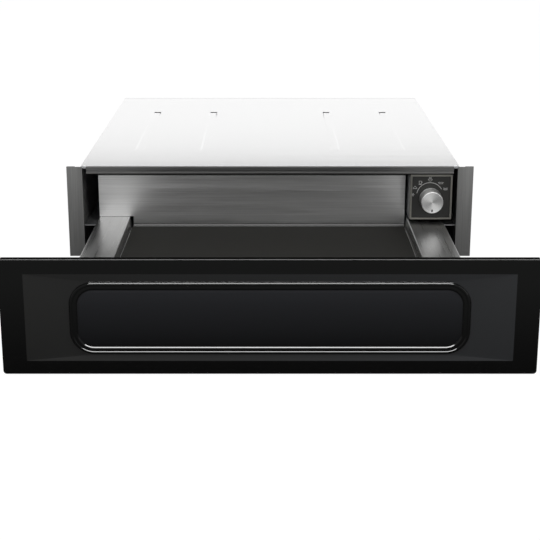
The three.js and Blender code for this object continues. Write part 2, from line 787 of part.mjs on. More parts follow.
function safetyCutout() {
  const radius = cutoutDiameter / 2;
  const back = unitFront + cutoutDepth;
  const [narrowing, stepAt] = cutoutStep;
  const [earReach, earHeight] = cutoutEar;
  const cap = radius - narrowing;
  const can = turnedY([cutoutX, cutoutZ], [
    [0, unitFront], [radius, unitFront], [radius, unitFront + stepAt - 1], [cap, unitFront + stepAt], [cap, back],
    [0, back],
  ], 24);
  const earEnd = radius + earReach;
  const ears = block(
    [cutoutX - earEnd, cutoutX + earEnd], [unitFront, unitFront + sheet],
    [cutoutZ - earHeight / 2, cutoutZ + earHeight / 2]);
  const tabs = [-1, 1].map((side) => {
    const x = cutoutX + side * (cap / 2);
    const width = [x - tabThickness / 2, x + tabThickness / 2];
    return block(width, [back - 1, back + cutoutTabLength], [cutoutZ - cap / 2, cutoutZ + cap / 2]);
  });
  return joined([can, ears, ...tabs]);
}

function terminalBlock() {
  const back = sheetRear - terminalSetback;
  const front = back - terminalDepth;
  const half = terminalWidth / 2;
  const body = block([terminalX - half, terminalX + half], [front, back], [baseSeat, baseSeat + terminalHeight]);
  const [wellWidth, wellDepth, wellFloor] = terminalWell;
  const [screwWidth, screwDepth, screwHeight] = terminalScrewWell;
  const floor = baseSeat + wellFloor;
  const wells = terminalPoles.flatMap((step) => {
    const x = terminalX + step * terminalPitch;
    return [
      block([x - wellWidth / 2, x + wellWidth / 2], [back - wellDepth, back + 1], [floor, baseSeat + terminalHeight + 1]),
      block([x - screwWidth / 2, x + screwWidth / 2], [front - 1, front + screwDepth], [floor, floor + screwHeight]),
    ];
  });
  return body.subtract(joined(wells));
}

function cableGland() {
  const bore = glandBore / 2;
  const thread = glandThread / 2;
  const nut = glandNut / 2;
  const innerEnd = sheetRear - glandNutDepth;
  const seat = rearY + gap;
  const [capStraight, capShoulder] = glandCap;
  const shoulder = seat + capStraight;
  const end = rearY + glandReach;
  return turnedY([glandX, glandZ], [
    [bore, innerEnd], [nut, innerEnd], [nut, sheetRear], [thread, sheetRear], [thread, seat], [nut, seat],
    [nut, shoulder], [nut - 3, shoulder + capShoulder], [nut - 5, end], [bore, end], [bore, innerEnd],
  ], 20);
}

// ---------------------------------------------------------------- telescopic runners

const railStart = frameY + railFront;
const raceway = ballDiameter + 2 * gap; // height left for the balls between two members
const outerHalf = railHeight / 2;
const middleHalf = outerHalf - railSheet - raceway;
const innerHalf = middleHalf - railSheet - raceway;
const cageSlot = cageSheet + 2 * gap; // width left for a cage between two webs
const middleBack = railBackX - railSheet - cageSlot;
const innerMouth = middleBack - railSheet - cageSlot;
const innerBack = railBackX - railThickness;

// A channel lying on its side, open towards the mouth, with its half height over the flanges.
function railChannel([back, mouth], halfHeight) {
  const [bottom, top] = [railZ - halfHeight, railZ + halfHeight];
  const channel = folded([[mouth, bottom], [back, bottom], [back, top], [mouth, top]], Math.sign(back - mouth) * railSheet);
  return alongY(channel, railStart, railStart + railLength);
}

function outerRail() {
  const mouth = railBackX - outerFlange;
  const lips = [railZ - outerHalf, railZ + outerHalf - railLip].map((z) =>
    block([mouth, mouth + railSheet], [railStart, railStart + railLength], [z, z + railLip]));
  return joined([railChannel([railBackX, mouth], outerHalf), ...lips]);
}

// A strip bent into a channel, with balls seated in its two edges.
function ballCage(webX, mouthX, rowHalf, middleY) {
  const start = middleY - cageLength / 2;
  const half = rowHalf + cageSheet / 2;
  const path = [[mouthX, railZ - half], [webX, railZ - half], [webX, railZ + half], [mouthX, railZ + half]];
  const strip = alongY(folded(path, cageSheet, cageBend), start, start + cageLength);
  const pitch = (cageLength - 4 * ballDiameter) / (ballsPerRow - 1);
  const ballX = (webX + mouthX) / 2;
  const balls = [];
  for (let i = 0; i < ballsPerRow; i++) {
    for (const side of [-1, 1]) {
      const ball = new THREE.SphereGeometry(ballDiameter / 2, 6, 4);
      balls.push(solid(ball.translate(ballX, start + 2 * ballDiameter + i * pitch, railZ + side * rowHalf)));
    }
  }
  return joined([strip, ...balls]);
}

function addRunners(housing, drawer, middleSlide, outerCages, innerCages) {
  addPair(housing, 'rail_outer', outerRail(), finishes.rail);
  addPair(middleSlide, 'rail_middle', railChannel([middleBack, middleBack - middleFlange], middleHalf), finishes.rail);
  addPair(drawer, 'rail_inner', railChannel([innerBack, innerMouth], innerHalf), finishes.rail);
  const outerRow = (outerHalf - railSheet + middleHalf) / 2;
  const innerRow = (middleHalf - railSheet + innerHalf) / 2;
  const outerCageY = railStart + openTravel / 4 + cageLength / 2 + outerCageStart;
  const innerCageY = railStart + openTravel * 0.75 - cageLength / 2 + innerCageEnd;
  const outerMouth = railBackX - outerFlange;
  const outerCage = ballCage(railBackX - railSheet - gap, outerMouth + cageMouth, outerRow, outerCageY);
  const innerCage = ballCage(middleBack - railSheet - gap, innerBack + cageMouth, innerRow, innerCageY);
  addPair(outerCages, 'ball_cage_outer', outerCage, finishes.rail);
  addPair(innerCages, 'ball_cage_inner', innerCage, finishes.rail);
}

// ---------------------------------------------------------------- drawer

function tray() {
  const half = trayWidth / 2;
  const path = [
    [-half, ledgeTop - ledgeLip], [-half, ledgeTop], [wellLeft, ledgeTop], [wellLeft + wellSlope, floorTop],
    [wellRight - wellSlope, floorTop], [wellRight, ledgeTop], [half, ledgeTop], [half, ledgeTop - ledgeLip],
  ];
  return alongY(folded(path, -sheet), linerBackY + gap, rearWallY + sheet + rearWallHem);
}

function drawerMat() {
  const seat = floorTop + gap;
  const clear = wellSlope + bend;
  const shape = roundedRectangle(
    wellLeft + clear, wellRight - clear, linerBackY + 1, rearWallY - rearWallFoot - gap, matCorner);
  return alongZ(shape, seat, seat + matThickness);
}

function rearWall() {
  const left = -trayWidth / 2 + gap;
  const footTop = floorTop + gap + sheet;
  const wellEdge = wellLeft + wellSlope + 2 * bend;
  const path = [
    [rearWallY + rearWallHem, rearWallTop], [rearWallY, rearWallTop],
    [rearWallY, footTop], [rearWallY - rearWallFoot, footTop],
  ];
  const main = alongX(folded(path, sheet, rearWallCove), wellEdge, rearWallRight);
  const shortPath = [[rearWallY + rearWallHem, rearWallTop], [rearWallY, rearWallTop], [rearWallY, ledgeTop + gap]];
  const overLedge = alongX(folded(shortPath, sheet, rearWallCove), left, wellEdge + sheet);
  const hemTop = rearWallTop - rearWallCove;
  const hemY = [rearWallY, rearWallY + rearWallHem];
  const leftHem = block([left, left + sheet], hemY, [ledgeTop + gap, hemTop]);
  const rightHem = block([rearWallRight - sheet, rearWallRight], hemY, [floorTop + 2, hemTop]);
  return joined([main, overLedge, leftHem, rightHem]);
}

function drawerSide() {
  const top = ledgeTop - sheet - gap;
  const path = [[sideX - sideFlange, sideBottom], [sideX, sideBottom], [sideX, top], [sideX - sideFlange, top]];
  return alongY(folded(path, sheet), linerBackY + gap, rearWallY + sheet);
}

function crossMember(y) {
  const half = sideX - sheet - gap;
  const bottom = sideBottom + sheet + gap;
  const top = floorTop - 2 * sheet - gap;
  const path = [
    [y, bottom], [y + crossFlange - sheet, bottom], [y + crossFlange, top],
    [y + crossWidth - crossFlange, top], [y + crossWidth - crossFlange + sheet, bottom], [y + crossWidth, bottom],
  ];
  return alongX(folded(path, sheet), -half, half);
}

function strikerBracket() {
  const y = linerBackY + crossFrontY;
  const top = sideBottom + sheet;
  const path = [[y, top], [y + strikerLength, top], [y + strikerLength, strikerBottom]];
  return alongX(folded(path, -sheet), -strikerWidth / 2, strikerWidth / 2);
}

function latchBody() {
  const width = latchWidth / 2;
  const shape = roundedRectangle(-width, width, baseSeat, baseSeat + latchHeight, 2.5);
  const body = alongY(shape, latchY, latchEnd);
  const ear = width + latchEar;
  const feet = block([-ear, ear], [latchY + latchEarInset, latchEnd - latchEarInset], [baseSeat, baseSeat + latchEarHeight]);
  const bore = rodY([0, plungerZ], plungerDiameter / 2 + gap, [latchY - 1, latchEnd - latchWall * 2]);
  return body.add(feet).subtract(bore);
}

function latchPlunger() {
  const radius = plungerDiameter / 2;
  const tip = latchY - plungerReach;
  const end = latchEnd - latchWall * 2 - latchStroke - gap;
  return turnedY([0, plungerZ], [
    [0, tip], [radius - 1.2, tip], [radius, tip + 1.2], [radius, end], [0, end],
  ], 20);
}

// ---------------------------------------------------------------- drawer front

function frontLoop(insets, corner, depth) {
  return loop({
    halfWidth: frontWidth / 2 - insets.side,
    bottom: frontBottom + insets.bottom,
    top: frontTop - insets.top,
    corner,
    y: frontFaceY + depth,
  });
}

function evenInset(value, corner, depth) {
  return frontLoop({ side: value, top: value, bottom: value }, corner, depth);
}

// The pressing: a flat border, four facets that sink inward, a raised bead and the flat field inside it.
function frontPanel() {
  const border = { side: borderSide, top: borderTop, bottom: borderBottom };
  const grown = (more) => ({
    side: borderSide + facetSide + more,
    top: borderTop + facetHeight + more,
    bottom: borderBottom + facetHeight + more,
  });
  const beadTop = facetDepth - beadRise;
  const outerCorner = fieldCorner + beadWidth;
  const bead = (share, depth) => frontLoop(grown(beadWidth * share), outerCorner - beadWidth * share, depth);
  const faceLoops = [
    bead(1, fieldDepth), bead(0.9, fieldDepth * 0.6), bead(0.72, beadTop), bead(0.28, beadTop),
    bead(0.1, facetDepth * 0.5), bead(0, facetDepth), frontLoop(border, 0.8, 0),
    evenInset(panelEdge, frontCorner - panelEdge, 0), evenInset(panelEdge * 0.3, frontCorner - panelEdge * 0.3, panelEdge * 0.3),
    evenInset(0, frontCorner, panelEdge),
  ];
  const backLoops = [
    evenInset(0, frontCorner, panelDepth), evenInset(panelHem, frontCorner - sheet, panelDepth),
    evenInset(panelHem, frontCorner - sheet, panelDepth - sheet), evenInset(sheet, frontCorner - sheet, panelDepth - sheet),
    evenInset(sheet, frontCorner - sheet, sheet + panelEdge), evenInset(sheet + panelEdge, bend, sheet),
    frontLoop(border, 0.8, sheet), bead(0, facetDepth + sheet), bead(0.28, beadTop + sheet), bead(0.72, beadTop + sheet),
    bead(1, fieldDepth + sheet),
  ];
  return lofted([...faceLoops, ...backLoops]);
}

function frontLiner() {
  const half = frontWidth / 2 - linerInsetSide;
  const [bottom, top] = [frontBottom + linerInsetBottom, frontTop - linerInsetTop];
  const front = linerFrontY + gap;
  const outer = alongY(roundedRectangle(-half, half, bottom, top, linerCorner), front, linerBackY);
  const inner = alongY(
    roundedRectangle(sheet - half, half - sheet, bottom + sheet, top - sheet, linerCorner - sheet),
    front - 1, linerBackY - sheet);
  const through = [linerBackY - sheet - sheetCut, linerBackY + sheetCut];
  const corner = pocketHole / Math.cos(Math.PI / 8);
  const corners = Array.from({ length: 8 }, (_, i) => {
    const angle = ((i + 0.5) * Math.PI) / 4;
    return [dialX + corner * Math.cos(angle), dialZ + corner * Math.sin(angle)];
  });
  const hole = alongY(outline(corners), ...through);
  return outer.subtract(joined([inner, hole]));
}

// The cup that takes the knob when the drawer is shut, set in the liner from inside.
function knobCup() {
  const outer = pocketRadius + sheet;
  const floor = linerBackY + shutGap - knobProud - pocketClear;
  const seat = linerBackY - sheet - gap;
  const [reach, thickness] = pocketFlange;
  return turnedY([dialX, dialZ], [
    [0, floor - sheet], [outer, floor - sheet], [outer, seat - thickness], [outer + reach, seat - thickness],
    [outer + reach, seat], [outer, seat], [outer, linerBackY], [pocketRadius, linerBackY], [pocketRadius, floor], [0, floor],
  ], 24);
}

function frontBracket() {
  const y = linerBackY + gap;
  const outer = sideX - sheet - gap;
  const [reach, depth] = cornerBracket;
  const shape = folded([[outer - reach, y], [outer, y], [outer, y + depth]], sheet);
  const bottom = sideBottom + sheet + cornerBracketInset;
  return alongZ(shape, bottom, ledgeTop - 2 * sheet - 2 * gap - cornerBracketInset);
}

// A soft lip on the liner's back that meets the stile or the strip when the drawer is shut.
function sealSection(middle) {
  const y = linerBackY + gap;
  const reach = shutGap - 2 * gap;
  const half = sealWidth / 2;
  return outline([
    [middle - half, y], [middle + half, y], [middle + half, y + sealFoot], [middle + half * 0.55, y + reach * 0.85],
    [middle + half * 0.2, y + reach], [middle - half * 0.2, y + reach], [middle - half * 0.55, y + reach * 0.85],
    [middle - half, y + sealFoot],
  ]);
}

function sideSeal() {
  const bottom = frontBottom + linerInsetBottom + linerCorner;
  const top = frontTop - linerInsetTop - sealWidth - sealClear;
  return alongZ(sealSection((wallInner + frameWidth / 2) / 2), bottom, top);
}

function topSeal() {
  const z = frontTop - linerInsetTop - sealWidth / 2 - sealInset;
  const half = frameWidth / 2 - 4;
  const section = sealSection(z).getPoints().map((p) => [p.y, p.x]);
  return alongX(outline(section.reverse()), -half, half);
}

// ---------------------------------------------------------------- assembly

const model = new THREE.Group();
const housing = new THREE.Group();
const drawer = new THREE.Group();
const middleSlide = new THREE.Group();
const outerCages = new THREE.Group();
const innerCages = new THREE.Group();
drawer.position.y = -openTravel;
middleSlide.position.y = -openTravel / 2;
outerCages.position.y = -openTravel / 4;
innerCages.position.y = -openTravel * 0.75;
model.add(housing, drawer, middleSlide, outerCages, innerCages);

housing.add(piece('base_pan', basePan(), finishes.housing));
housing.add(piece('top_cover', topCover(), finishes.housing));
housing.add(piece('rear_panel', rearPanel(), finishes.housing));
addPair(housing, 'side_wall', sideWall(), finishes.housing);
addPair(housing, 'stile', stile(), finishes.frame);
housing.add(piece('top_strip', topStrip(), finishes.frame));
addPair(housing, 'rail_bracket', railBracket(), finishes.housing);

housing.add(piece('control_box', controlBox(), finishes.housing));
housing.add(piece('control_frame', controlFrame(), finishes.frame));
housing.add(piece('control_fascia', controlFascia(), finishes.fascia));
housing.add(piece('thermostat_body', thermostatBody(), finishes.plastic));
housing.add(piece('thermostat_spindle', spindle(), finishes.rail));
housing.add(piece('knob', knob(), finishes.knob));

housing.add(piece('partition', partition(), finishes.housing));
housing.add(piece('fan_housing', fanHousing(), finishes.housing));
housing.add(piece('fan_impeller', fanImpeller(), finishes.rail));
housing.add(piece('fan_motor', fanMotor(), finishes.plastic));
housing.add(piece('heater_element', heaterElement(), finishes.heater));
housing.add(piece('safety_cutout', safetyCutout(), finishes.pale));
housing.add(piece('terminal_block', terminalBlock(), finishes.pale));
housing.add(piece('cable_gland', cableGland(), finishes.plastic));
housing.add(piece('push_latch_body', latchBody(), finishes.plastic));
housing.add(piece('push_latch_plunger', latchPlunger(), finishes.pale));

addRunners(housing, drawer, middleSlide, outerCages, innerCages);

drawer.add(piece('tray', tray(), finishes.drawer));
drawer.add(piece('rear_wall', rearWall(), finishes.drawer));
drawer.add(piece('drawer_mat', drawerMat(), finishes.mat));
addPair(drawer, 'drawer_side', drawerSide(), finishes.drawer);
drawer.add(piece('cross_member_front', crossMember(linerBackY + crossFrontY), finishes.drawer));
drawer.add(piece('cross_member_rear', crossMember(rearWallY - crossRearInset), finishes.drawer));
drawer.add(piece('latch_striker', strikerBracket(), finishes.rail));
drawer.add(piece('front_panel', frontPanel(), finishes.front));
drawer.add(piece('front_liner', frontLiner(), finishes.liner));
drawer.add(piece('knob_cup', knobCup(), finishes.plastic));
addPair(drawer, 'front_bracket', frontBracket(), finishes.rail);
addPair(drawer, 'front_seal', sideSeal(), finishes.rubber);
drawer.add(piece('front_seal_top', topSeal(), finishes.rubber));

export default model;
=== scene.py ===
"""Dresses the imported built-in warming drawer for rendering, with finishes, finer pieces, a studio and the camera."""

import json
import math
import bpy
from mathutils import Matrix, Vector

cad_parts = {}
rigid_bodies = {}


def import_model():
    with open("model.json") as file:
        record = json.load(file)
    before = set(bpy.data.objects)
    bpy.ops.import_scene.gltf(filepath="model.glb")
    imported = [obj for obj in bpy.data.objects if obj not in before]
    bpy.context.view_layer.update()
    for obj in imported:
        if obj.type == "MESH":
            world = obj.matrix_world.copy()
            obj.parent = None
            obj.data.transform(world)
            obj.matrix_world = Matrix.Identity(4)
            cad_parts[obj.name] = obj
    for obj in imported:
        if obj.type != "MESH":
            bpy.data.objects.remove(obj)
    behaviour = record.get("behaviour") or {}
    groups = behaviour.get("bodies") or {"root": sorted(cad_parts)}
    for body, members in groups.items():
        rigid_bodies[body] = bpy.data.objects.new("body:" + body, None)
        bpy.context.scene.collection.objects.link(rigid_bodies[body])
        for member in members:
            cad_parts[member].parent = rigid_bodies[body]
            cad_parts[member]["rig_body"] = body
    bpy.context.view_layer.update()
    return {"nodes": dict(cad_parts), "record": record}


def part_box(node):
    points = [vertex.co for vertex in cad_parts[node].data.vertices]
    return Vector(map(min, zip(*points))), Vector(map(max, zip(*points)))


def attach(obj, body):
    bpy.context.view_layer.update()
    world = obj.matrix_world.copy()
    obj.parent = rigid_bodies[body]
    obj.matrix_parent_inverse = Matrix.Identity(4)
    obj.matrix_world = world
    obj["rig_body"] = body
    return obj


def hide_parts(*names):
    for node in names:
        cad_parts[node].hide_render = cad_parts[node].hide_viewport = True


bl_info = {
    "name": "Warming Drawer",
    "version": (1, 0, 0),
    "blender": (4, 5, 0),
    "location": "View3D > Sidebar > Warming Drawer",
    "description": "Finishes, finer pieces and a studio for the packed built-in warming drawer",
    "category": "Object",
}

import bmesh
import bpy
from bpy.props import FloatProperty, FloatVectorProperty, IntProperty, PointerProperty
from mathutils import Matrix, Vector

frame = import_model()

MM = 0.001


def box_of(node):
    """The lowest and the highest corner of a node, in millimetres."""
    return [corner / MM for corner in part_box(node)]


PANEL = box_of("front_panel")
FASCIA = box_of("control_fascia")
KNOB = box_of("knob")
KNOB_X = (KNOB[0].x + KNOB[1].x) / 2
KNOB_Z = (KNOB[0].z + KNOB[1].z) / 2
# The print stands a little off the knob's axis.
PRINT_X, ARC_Z, SYMBOLS_Z = KNOB_X - 1.2, KNOB_Z + 5.6, KNOB_Z + 4.4


# ---- settings


def shade(value):
    """An opaque grey of this linear value."""
    return (value, value, value, 1.0)


def colour(name, description, default):
    return FloatVectorProperty(
        name=name, description=description, default=default, size=4, min=0, max=1, subtype="COLOR")


def number(name, description, default, **options):
    return FloatProperty(name=name, description=description, default=default, **options)


def share_of(name, description, default):
    return number(name, description, default, subtype="FACTOR", min=0, max=1)


def length(name, description, default):
    """A length in millimetres."""
    return number(name, description, default, min=0, precision=2)


class StudioSettings(bpy.types.PropertyGroup):
    """The camera, the floor and the lamps."""

    camera_distance: number(
        "Camera distance", "How far the camera stands in front of the housing's middle", 1.9181, unit="LENGTH")
    camera_height: number("Camera height", "Height of the camera above the floor", 0.5394, unit="LENGTH")
    camera_pitch: number("Camera pitch", "How far the camera looks down", math.radians(14.88), subtype="ANGLE")
    camera_lens: number("Lens", "Focal length in millimetres", 78.38)
    camera_shift: number("Shift", "Shift of the lens, as a share of the width", -0.15)
    ambient: number("Ambient", "Strength of the light from all around", 0.45)
    key: number("Key lamp", "Radiance of the large lamp overhead", 1.6)
    strip: number("Strip lamp", "Radiance of the narrow lamp that lines the bead", 62)
    side: number("Side lamp", "Radiance of the lamp at the right", 2.0)
    floor_mirrored: share_of("Mirrored floor", "Share of plain white in the floor's reflections", 0.1)
    # Painted shadow: the floor's colour close to the object, in reflections only.
    floor_painted_shadow: share_of("Floor by the object", "Brightness of the floor close to the object in reflections", 0.25)
    floor_shadow: share_of("Shadow", "Share of the floor's brightness that comes from the lamps", 0.12)


class FrontSettings(bpy.types.PropertyGroup):
    """The enamelled front."""

    # Painted reflection: the facets' colours, lighter than the border and lighter at the right, and the field's
    # colours, lighter at its top than at its foot, stand in for reflections. The border is its own near-black, with
    # painted shade towards its foot.
    border: colour("Border", "Colour of the flat border", (0.002, 0.0023, 0.002, 1))
    facet: colour(
        "Facets, left", "Colour of the sloping faces round the bead, at the left", (0.022, 0.022, 0.021, 1))
    facet_right: colour("Facets, right", "Their colour at the right", (0.034, 0.0355, 0.038, 1))
    field: colour(
        "Field, bottom", "Colour of the flat field inside the bead, at its foot", (0.003, 0.0032, 0.0038, 1))
    field_top: colour("Field, top", "Its colour at the top", (0.021, 0.022, 0.026, 1))
    gloss: number("Roughness", "Roughness of the enamel", 0.1, min=0, max=1)
    crown: length("Crown", "How far the field bulges at its middle", 0.4)
    corner_steps: IntProperty(name="Corner steps", description="Facets in each rounded corner", default=16, min=4)


class SteelSettings(bpy.types.PropertyGroup):
    """The sheet metals."""

    brushed: colour("Brushed steel", "Lighter tone of the drawer's brushed steel", (0.95, 0.95, 0.945, 1))
    frame: colour("Frame steel", "Lighter tone of the stiles and the strip", (0.36, 0.36, 0.355, 1))
    galvanised: colour("Galvanised", "Lighter tone of the housing's sheets", (0.5, 0.51, 0.52, 1))
    edge: length("Edge radius", "Rounding of the sheets' cut edges", 0.3)


class DialSettings(bpy.types.PropertyGroup):
    """The knob and the print round it."""

    ink: colour("Print", "Colour of the print on the fascia", (0.5, 0.5, 0.49, 1))
    arc_radius: length("Arc", "Radius of the printed arc", 19)
    symbol_radius: length("Symbols", "Distance of the symbols from the knob's middle", 25)
    line: length("Line", "Width of the printed lines", 0.6)


class DrawerSettings(bpy.types.PropertyGroup):
    """All settings of the warming drawer."""

    studio: PointerProperty(type=StudioSettings)
    front: PointerProperty(type=FrontSettings)
    steel: PointerProperty(type=SteelSettings)
    dial: PointerProperty(type=DialSettings)


# ---- shader tools


def wire(tree, kind, inputs=None, **options):
    """Adds a shader node, sets its options and fills its inputs with values or with links from other sockets."""
    node = tree.nodes.new(f"ShaderNode{kind}")
    for key, value in options.items():
        setattr(node, key, value)
    for socket, value in (inputs or {}).items():
        if isinstance(value, bpy.types.NodeSocket):
            tree.links.new(value, node.inputs[socket])
        else:
            node.inputs[socket].default_value = value
    return node


def maths(tree, operation, a, b=0.0, clamp=False):
    return wire(tree, "Math", {0: a, 1: b}, operation=operation, use_clamp=clamp).outputs[0]


def weighed(tree, a, share_a, b, share_b, clamp=False):
    """The sum of two values, each times its share."""
    return maths(tree, "ADD", maths(tree, "MULTIPLY", a, share_a), maths(tree, "MULTIPLY", b, share_b), clamp)


def spread(tree, value, low=0.0, high=1.0, start=0.0, end=1.0):
    """Runs a value that goes from start to end between low and high."""
    return wire(tree, "MapRange", {
        "Value": value, "From Min": start, "From Max": end, "To Min": low, "To Max": high}).outputs["Result"]


def object_point(tree):
    """Where the shaded point is in its object."""
    return wire(tree, "TexCoord").outputs["Object"]


def object_axes(tree):
    """The X, Y and Z of that point."""
    return wire(tree, "SeparateXYZ", {0: object_point(tree)}).outputs


def blend_colours(tree, factor, dark, light):
    return wire(tree, "Mix", {0: factor, 6: dark, 7: light}, data_type="RGBA").outputs[2]


def texture_group(name, sockets, fill):
    """A shader node group with a tone and a height. fill makes its nodes from the tree and the input node."""
    group = bpy.data.node_groups.get(name)
    if group:
        return group
    group = bpy.data.node_groups.new(name, "ShaderNodeTree")
    for label, kind, default in sockets:
        socket = group.interface.new_socket(name=label, in_out="INPUT", socket_type=kind)
        socket.default_value = default
    for label in ("Tone", "Height"):
        group.interface.new_socket(name=label, in_out="OUTPUT", socket_type="NodeSocketFloat")
    results = fill(group, group.nodes.new("NodeGroupInput"))
    for socket, result in zip(group.nodes.new("NodeGroupOutput").inputs, results):
        group.links.new(result, socket)
    return group


def place(tree, group, values):
    return wire(tree, "Group", values, node_tree=group)


def brushing():
    """Fine lines drawn out along one axis. Stretch gives the lines per metre along each axis."""

    def fill(tree, given):
        here = object_point(tree)
        drawn = wire(tree, "VectorMath", {0: here, 1: given.outputs["Stretch"]}, operation="MULTIPLY")
        fine = wire(tree, "TexNoise", {"Vector": drawn.outputs[0], "Scale": 1.0, "Detail": 3.0, "Roughness": 0.7})
        broad = wire(tree, "TexNoise", {"Vector": drawn.outputs[0], "Scale": 0.12, "Detail": 2.0})
        mixed = weighed(tree, fine.outputs[0], 0.65, broad.outputs[0], 0.35)
        return spread(tree, mixed, start=0.32, end=0.68), fine.outputs[0]

    return texture_group("Brushing", [("Stretch", "NodeSocketVector", (10, 900, 900))], fill)


def spangle():
    """The grown zinc crystals of a galvanised sheet."""

    def fill(tree, given):
        here = object_point(tree)
        scale = given.outputs["Scale"]
        cells = wire(tree, "TexVoronoi", {"Vector": here, "Scale": scale, "Randomness": 1.0})
        cell = wire(tree, "SeparateColor", {0: cells.outputs["Color"]}).outputs[0]
        cloud = wire(tree, "TexNoise", {"Vector": here, "Scale": scale, "Detail": 4.0}).outputs[0]
        return weighed(tree, cell, 0.6, cloud, 0.4), cloud

    return texture_group("Spangle", [("Scale", "NodeSocketFloat", 120.0)], fill)


def grain():
    """The fine pebbled face of moulded plastic, powder coat and rubber."""

    def fill(tree, given):
        here = object_point(tree)
        scale = given.outputs["Scale"]
        pebbles = wire(tree, "TexVoronoi", {"Vector": here, "Scale": scale}, feature="SMOOTH_F1")
        cloud = wire(tree, "TexNoise", {"Vector": here, "Scale": given.outputs["Cloud"], "Detail": 4.0})
        fleck = wire(tree, "TexNoise", {"Vector": here, "Scale": scale, "Detail": 1.0})
        return weighed(tree, cloud.outputs[0], 0.5, fleck.outputs[0], 0.5), pebbles.outputs["Distance"]

    return texture_group("Grain", [("Scale", "NodeSocketFloat", 900.0), ("Cloud", "NodeSocketFloat", 12.0)], fill)


def turning():
    """The rings that a lathe leaves round an axis along Y, with painted light and dark sectors that stand in for the
    highlights that such rings show.
    """

    def fill(tree, given):
        here = object_point(tree)
        local = wire(tree, "VectorMath", {0: here, 1: given.outputs["Centre"]}, operation="SUBTRACT")
        flat = wire(tree, "VectorMath", {0: local.outputs[0], 1: (1, 0, 1)}, operation="MULTIPLY")
        radius = wire(tree, "VectorMath", {0: flat.outputs[0]}, operation="LENGTH").outputs["Value"]
        turns = maths(tree, "MULTIPLY", radius, given.outputs["Turns"])
        rings = wire(tree, "TexNoise", {"W": turns, "Scale": 1.0, "Detail": 2.0}, noise_dimensions="1D")
        parts = wire(tree, "SeparateXYZ", {0: flat.outputs[0]})
        around = maths(tree, "ARCTAN2", parts.outputs["X"], parts.outputs["Z"])
        twice = maths(tree, "MULTIPLY", maths(tree, "ADD", around, given.outputs["Lean"]), 2.0)
        # Painted highlight: light and dark sectors by the angle round the axis, turned by Lean.
        painted_sectors = maths(tree, "COSINE", twice)
        return weighed(tree, painted_sectors, 0.42, rings.outputs[0], 1.1, clamp=True), rings.outputs[0]

    return texture_group(
        "Turning", [("Centre", "NodeSocketVector", (0, 0, 0)), ("Turns", "NodeSocketFloat", 3000.0),
                    ("Lean", "NodeSocketFloat", 0.5)], fill)


def new_material(name):
    material = bpy.data.materials.new(name)
    material.use_nodes = True
    return material, material.node_tree


def surface(name, texture, values, colours, rough, relief=0.0, depth=0.00005, **shader):
    """A material that runs between two colours and two roughnesses by a texture's tone, with its height as relief."""
    material = bpy.data.materials.get(name)
    if material:
        return material
    material, tree = new_material(name)
    principled = tree.nodes["Principled BSDF"]
    source = place(tree, texture, values)
    tree.links.new(blend_colours(tree, source.outputs["Tone"], *colours), principled.inputs["Base Color"])
    tree.links.new(spread(tree, source.outputs["Tone"], *rough), principled.inputs["Roughness"])
    if relief:
        bump = wire(tree, "Bump", {"Height": source.outputs["Height"], "Strength": relief, "Distance": depth})
        tree.links.new(bump.outputs["Normal"], principled.inputs["Normal"])
    for socket, value in shader.items():
        principled.inputs[socket.replace("_", " ")].default_value = value
    return material


def darker(tone, share):
    return (tone[0] * share, tone[1] * share, tone[2] * share, 1.0)


def brushed(name, tone, stretch, rough=(0.3, 0.42), relief=0.35, contrast=0.8):
    tones = (darker(tone, contrast), tone)
    return surface(name, brushing(), {"Stretch": stretch}, tones, rough, relief, 0.00002, Metallic=1.0)


def grained(name, scale, cloud, dark, light, rough, relief, depth, **shader):
    values = {"Scale": scale, "Cloud": cloud}
    return surface(name, grain(), values, ((*dark, 1), (*light, 1)), rough, relief, depth, **shader)


def paint_shade(material, level, band):
    """Paints shade into a material's colour, as in a crease or under an edge. The band gives two heights over the
    level, in metres, and the share of the colour that is left at the first of them. From the second on it is whole."""
    dark_at, unshaded_at, share = band
    tree = material.node_tree
    socket = tree.nodes["Principled BSDF"].inputs["Base Color"]
    unshaded = socket.links[0].from_socket
    # Painted shade: the colour's share rises with height from the band's share to whole.
    left = spread(tree, object_axes(tree)["Z"], share, 1.0, level + dark_at, level + unshaded_at)
    tone = wire(tree, "VectorMath", {0: unshaded, 1: left}, operation="MULTIPLY")
    tree.links.new(tone.outputs[0], socket)


def enamel(front):
    """Glossy enamel with the slight waviness of a fired coat. Its colour carries painted reflections, with facets
    lighter than the border and lighter at the right and a field lighter towards its top, and painted shade that
    darkens the border towards its foot.
    """
    material = bpy.data.materials.get("Black enamel")
    if material:
        return material
    material, tree = new_material("Black enamel")
    principled = tree.nodes["Principled BSDF"]
    zone = wire(tree, "Attribute", attribute_name="zone").outputs["Color"]
    zones = wire(tree, "SeparateColor", {0: zone})
    here = object_axes(tree)
    across = spread(tree, here["X"], start=-0.3, end=0.3)
    upward = spread(tree, here["Z"], start=0.03, end=0.11)
    # Painted reflection: the facets lighten towards the right and the field towards its top. Painted shade: the border
    # darkens towards its foot.
    facet = blend_colours(tree, across, tuple(front.facet), tuple(front.facet_right))
    field = blend_colours(tree, upward, tuple(front.field), tuple(front.field_top))
    border = blend_colours(tree, upward, darker(front.border, 0.3), tuple(front.border))
    base = blend_colours(tree, zones.outputs[0], border, facet)
    base = blend_colours(tree, zones.outputs[1], base, field)
    waves = place(tree, grain(), {"Scale": 260.0, "Cloud": 9.0})
    tree.links.new(base, principled.inputs["Base Color"])
    rough = spread(tree, waves.outputs["Tone"], front.gloss * 0.8, front.gloss * 1.2)
    tree.links.new(rough, principled.inputs["Roughness"])
    bump = wire(tree, "Bump", {"Height": waves.outputs["Tone"], "Strength": 0.05, "Distance": 0.0001})
    tree.links.new(bump.outputs["Normal"], principled.inputs["Normal"])
    principled.inputs["Specular IOR Level"].default_value = 0.14
    return material


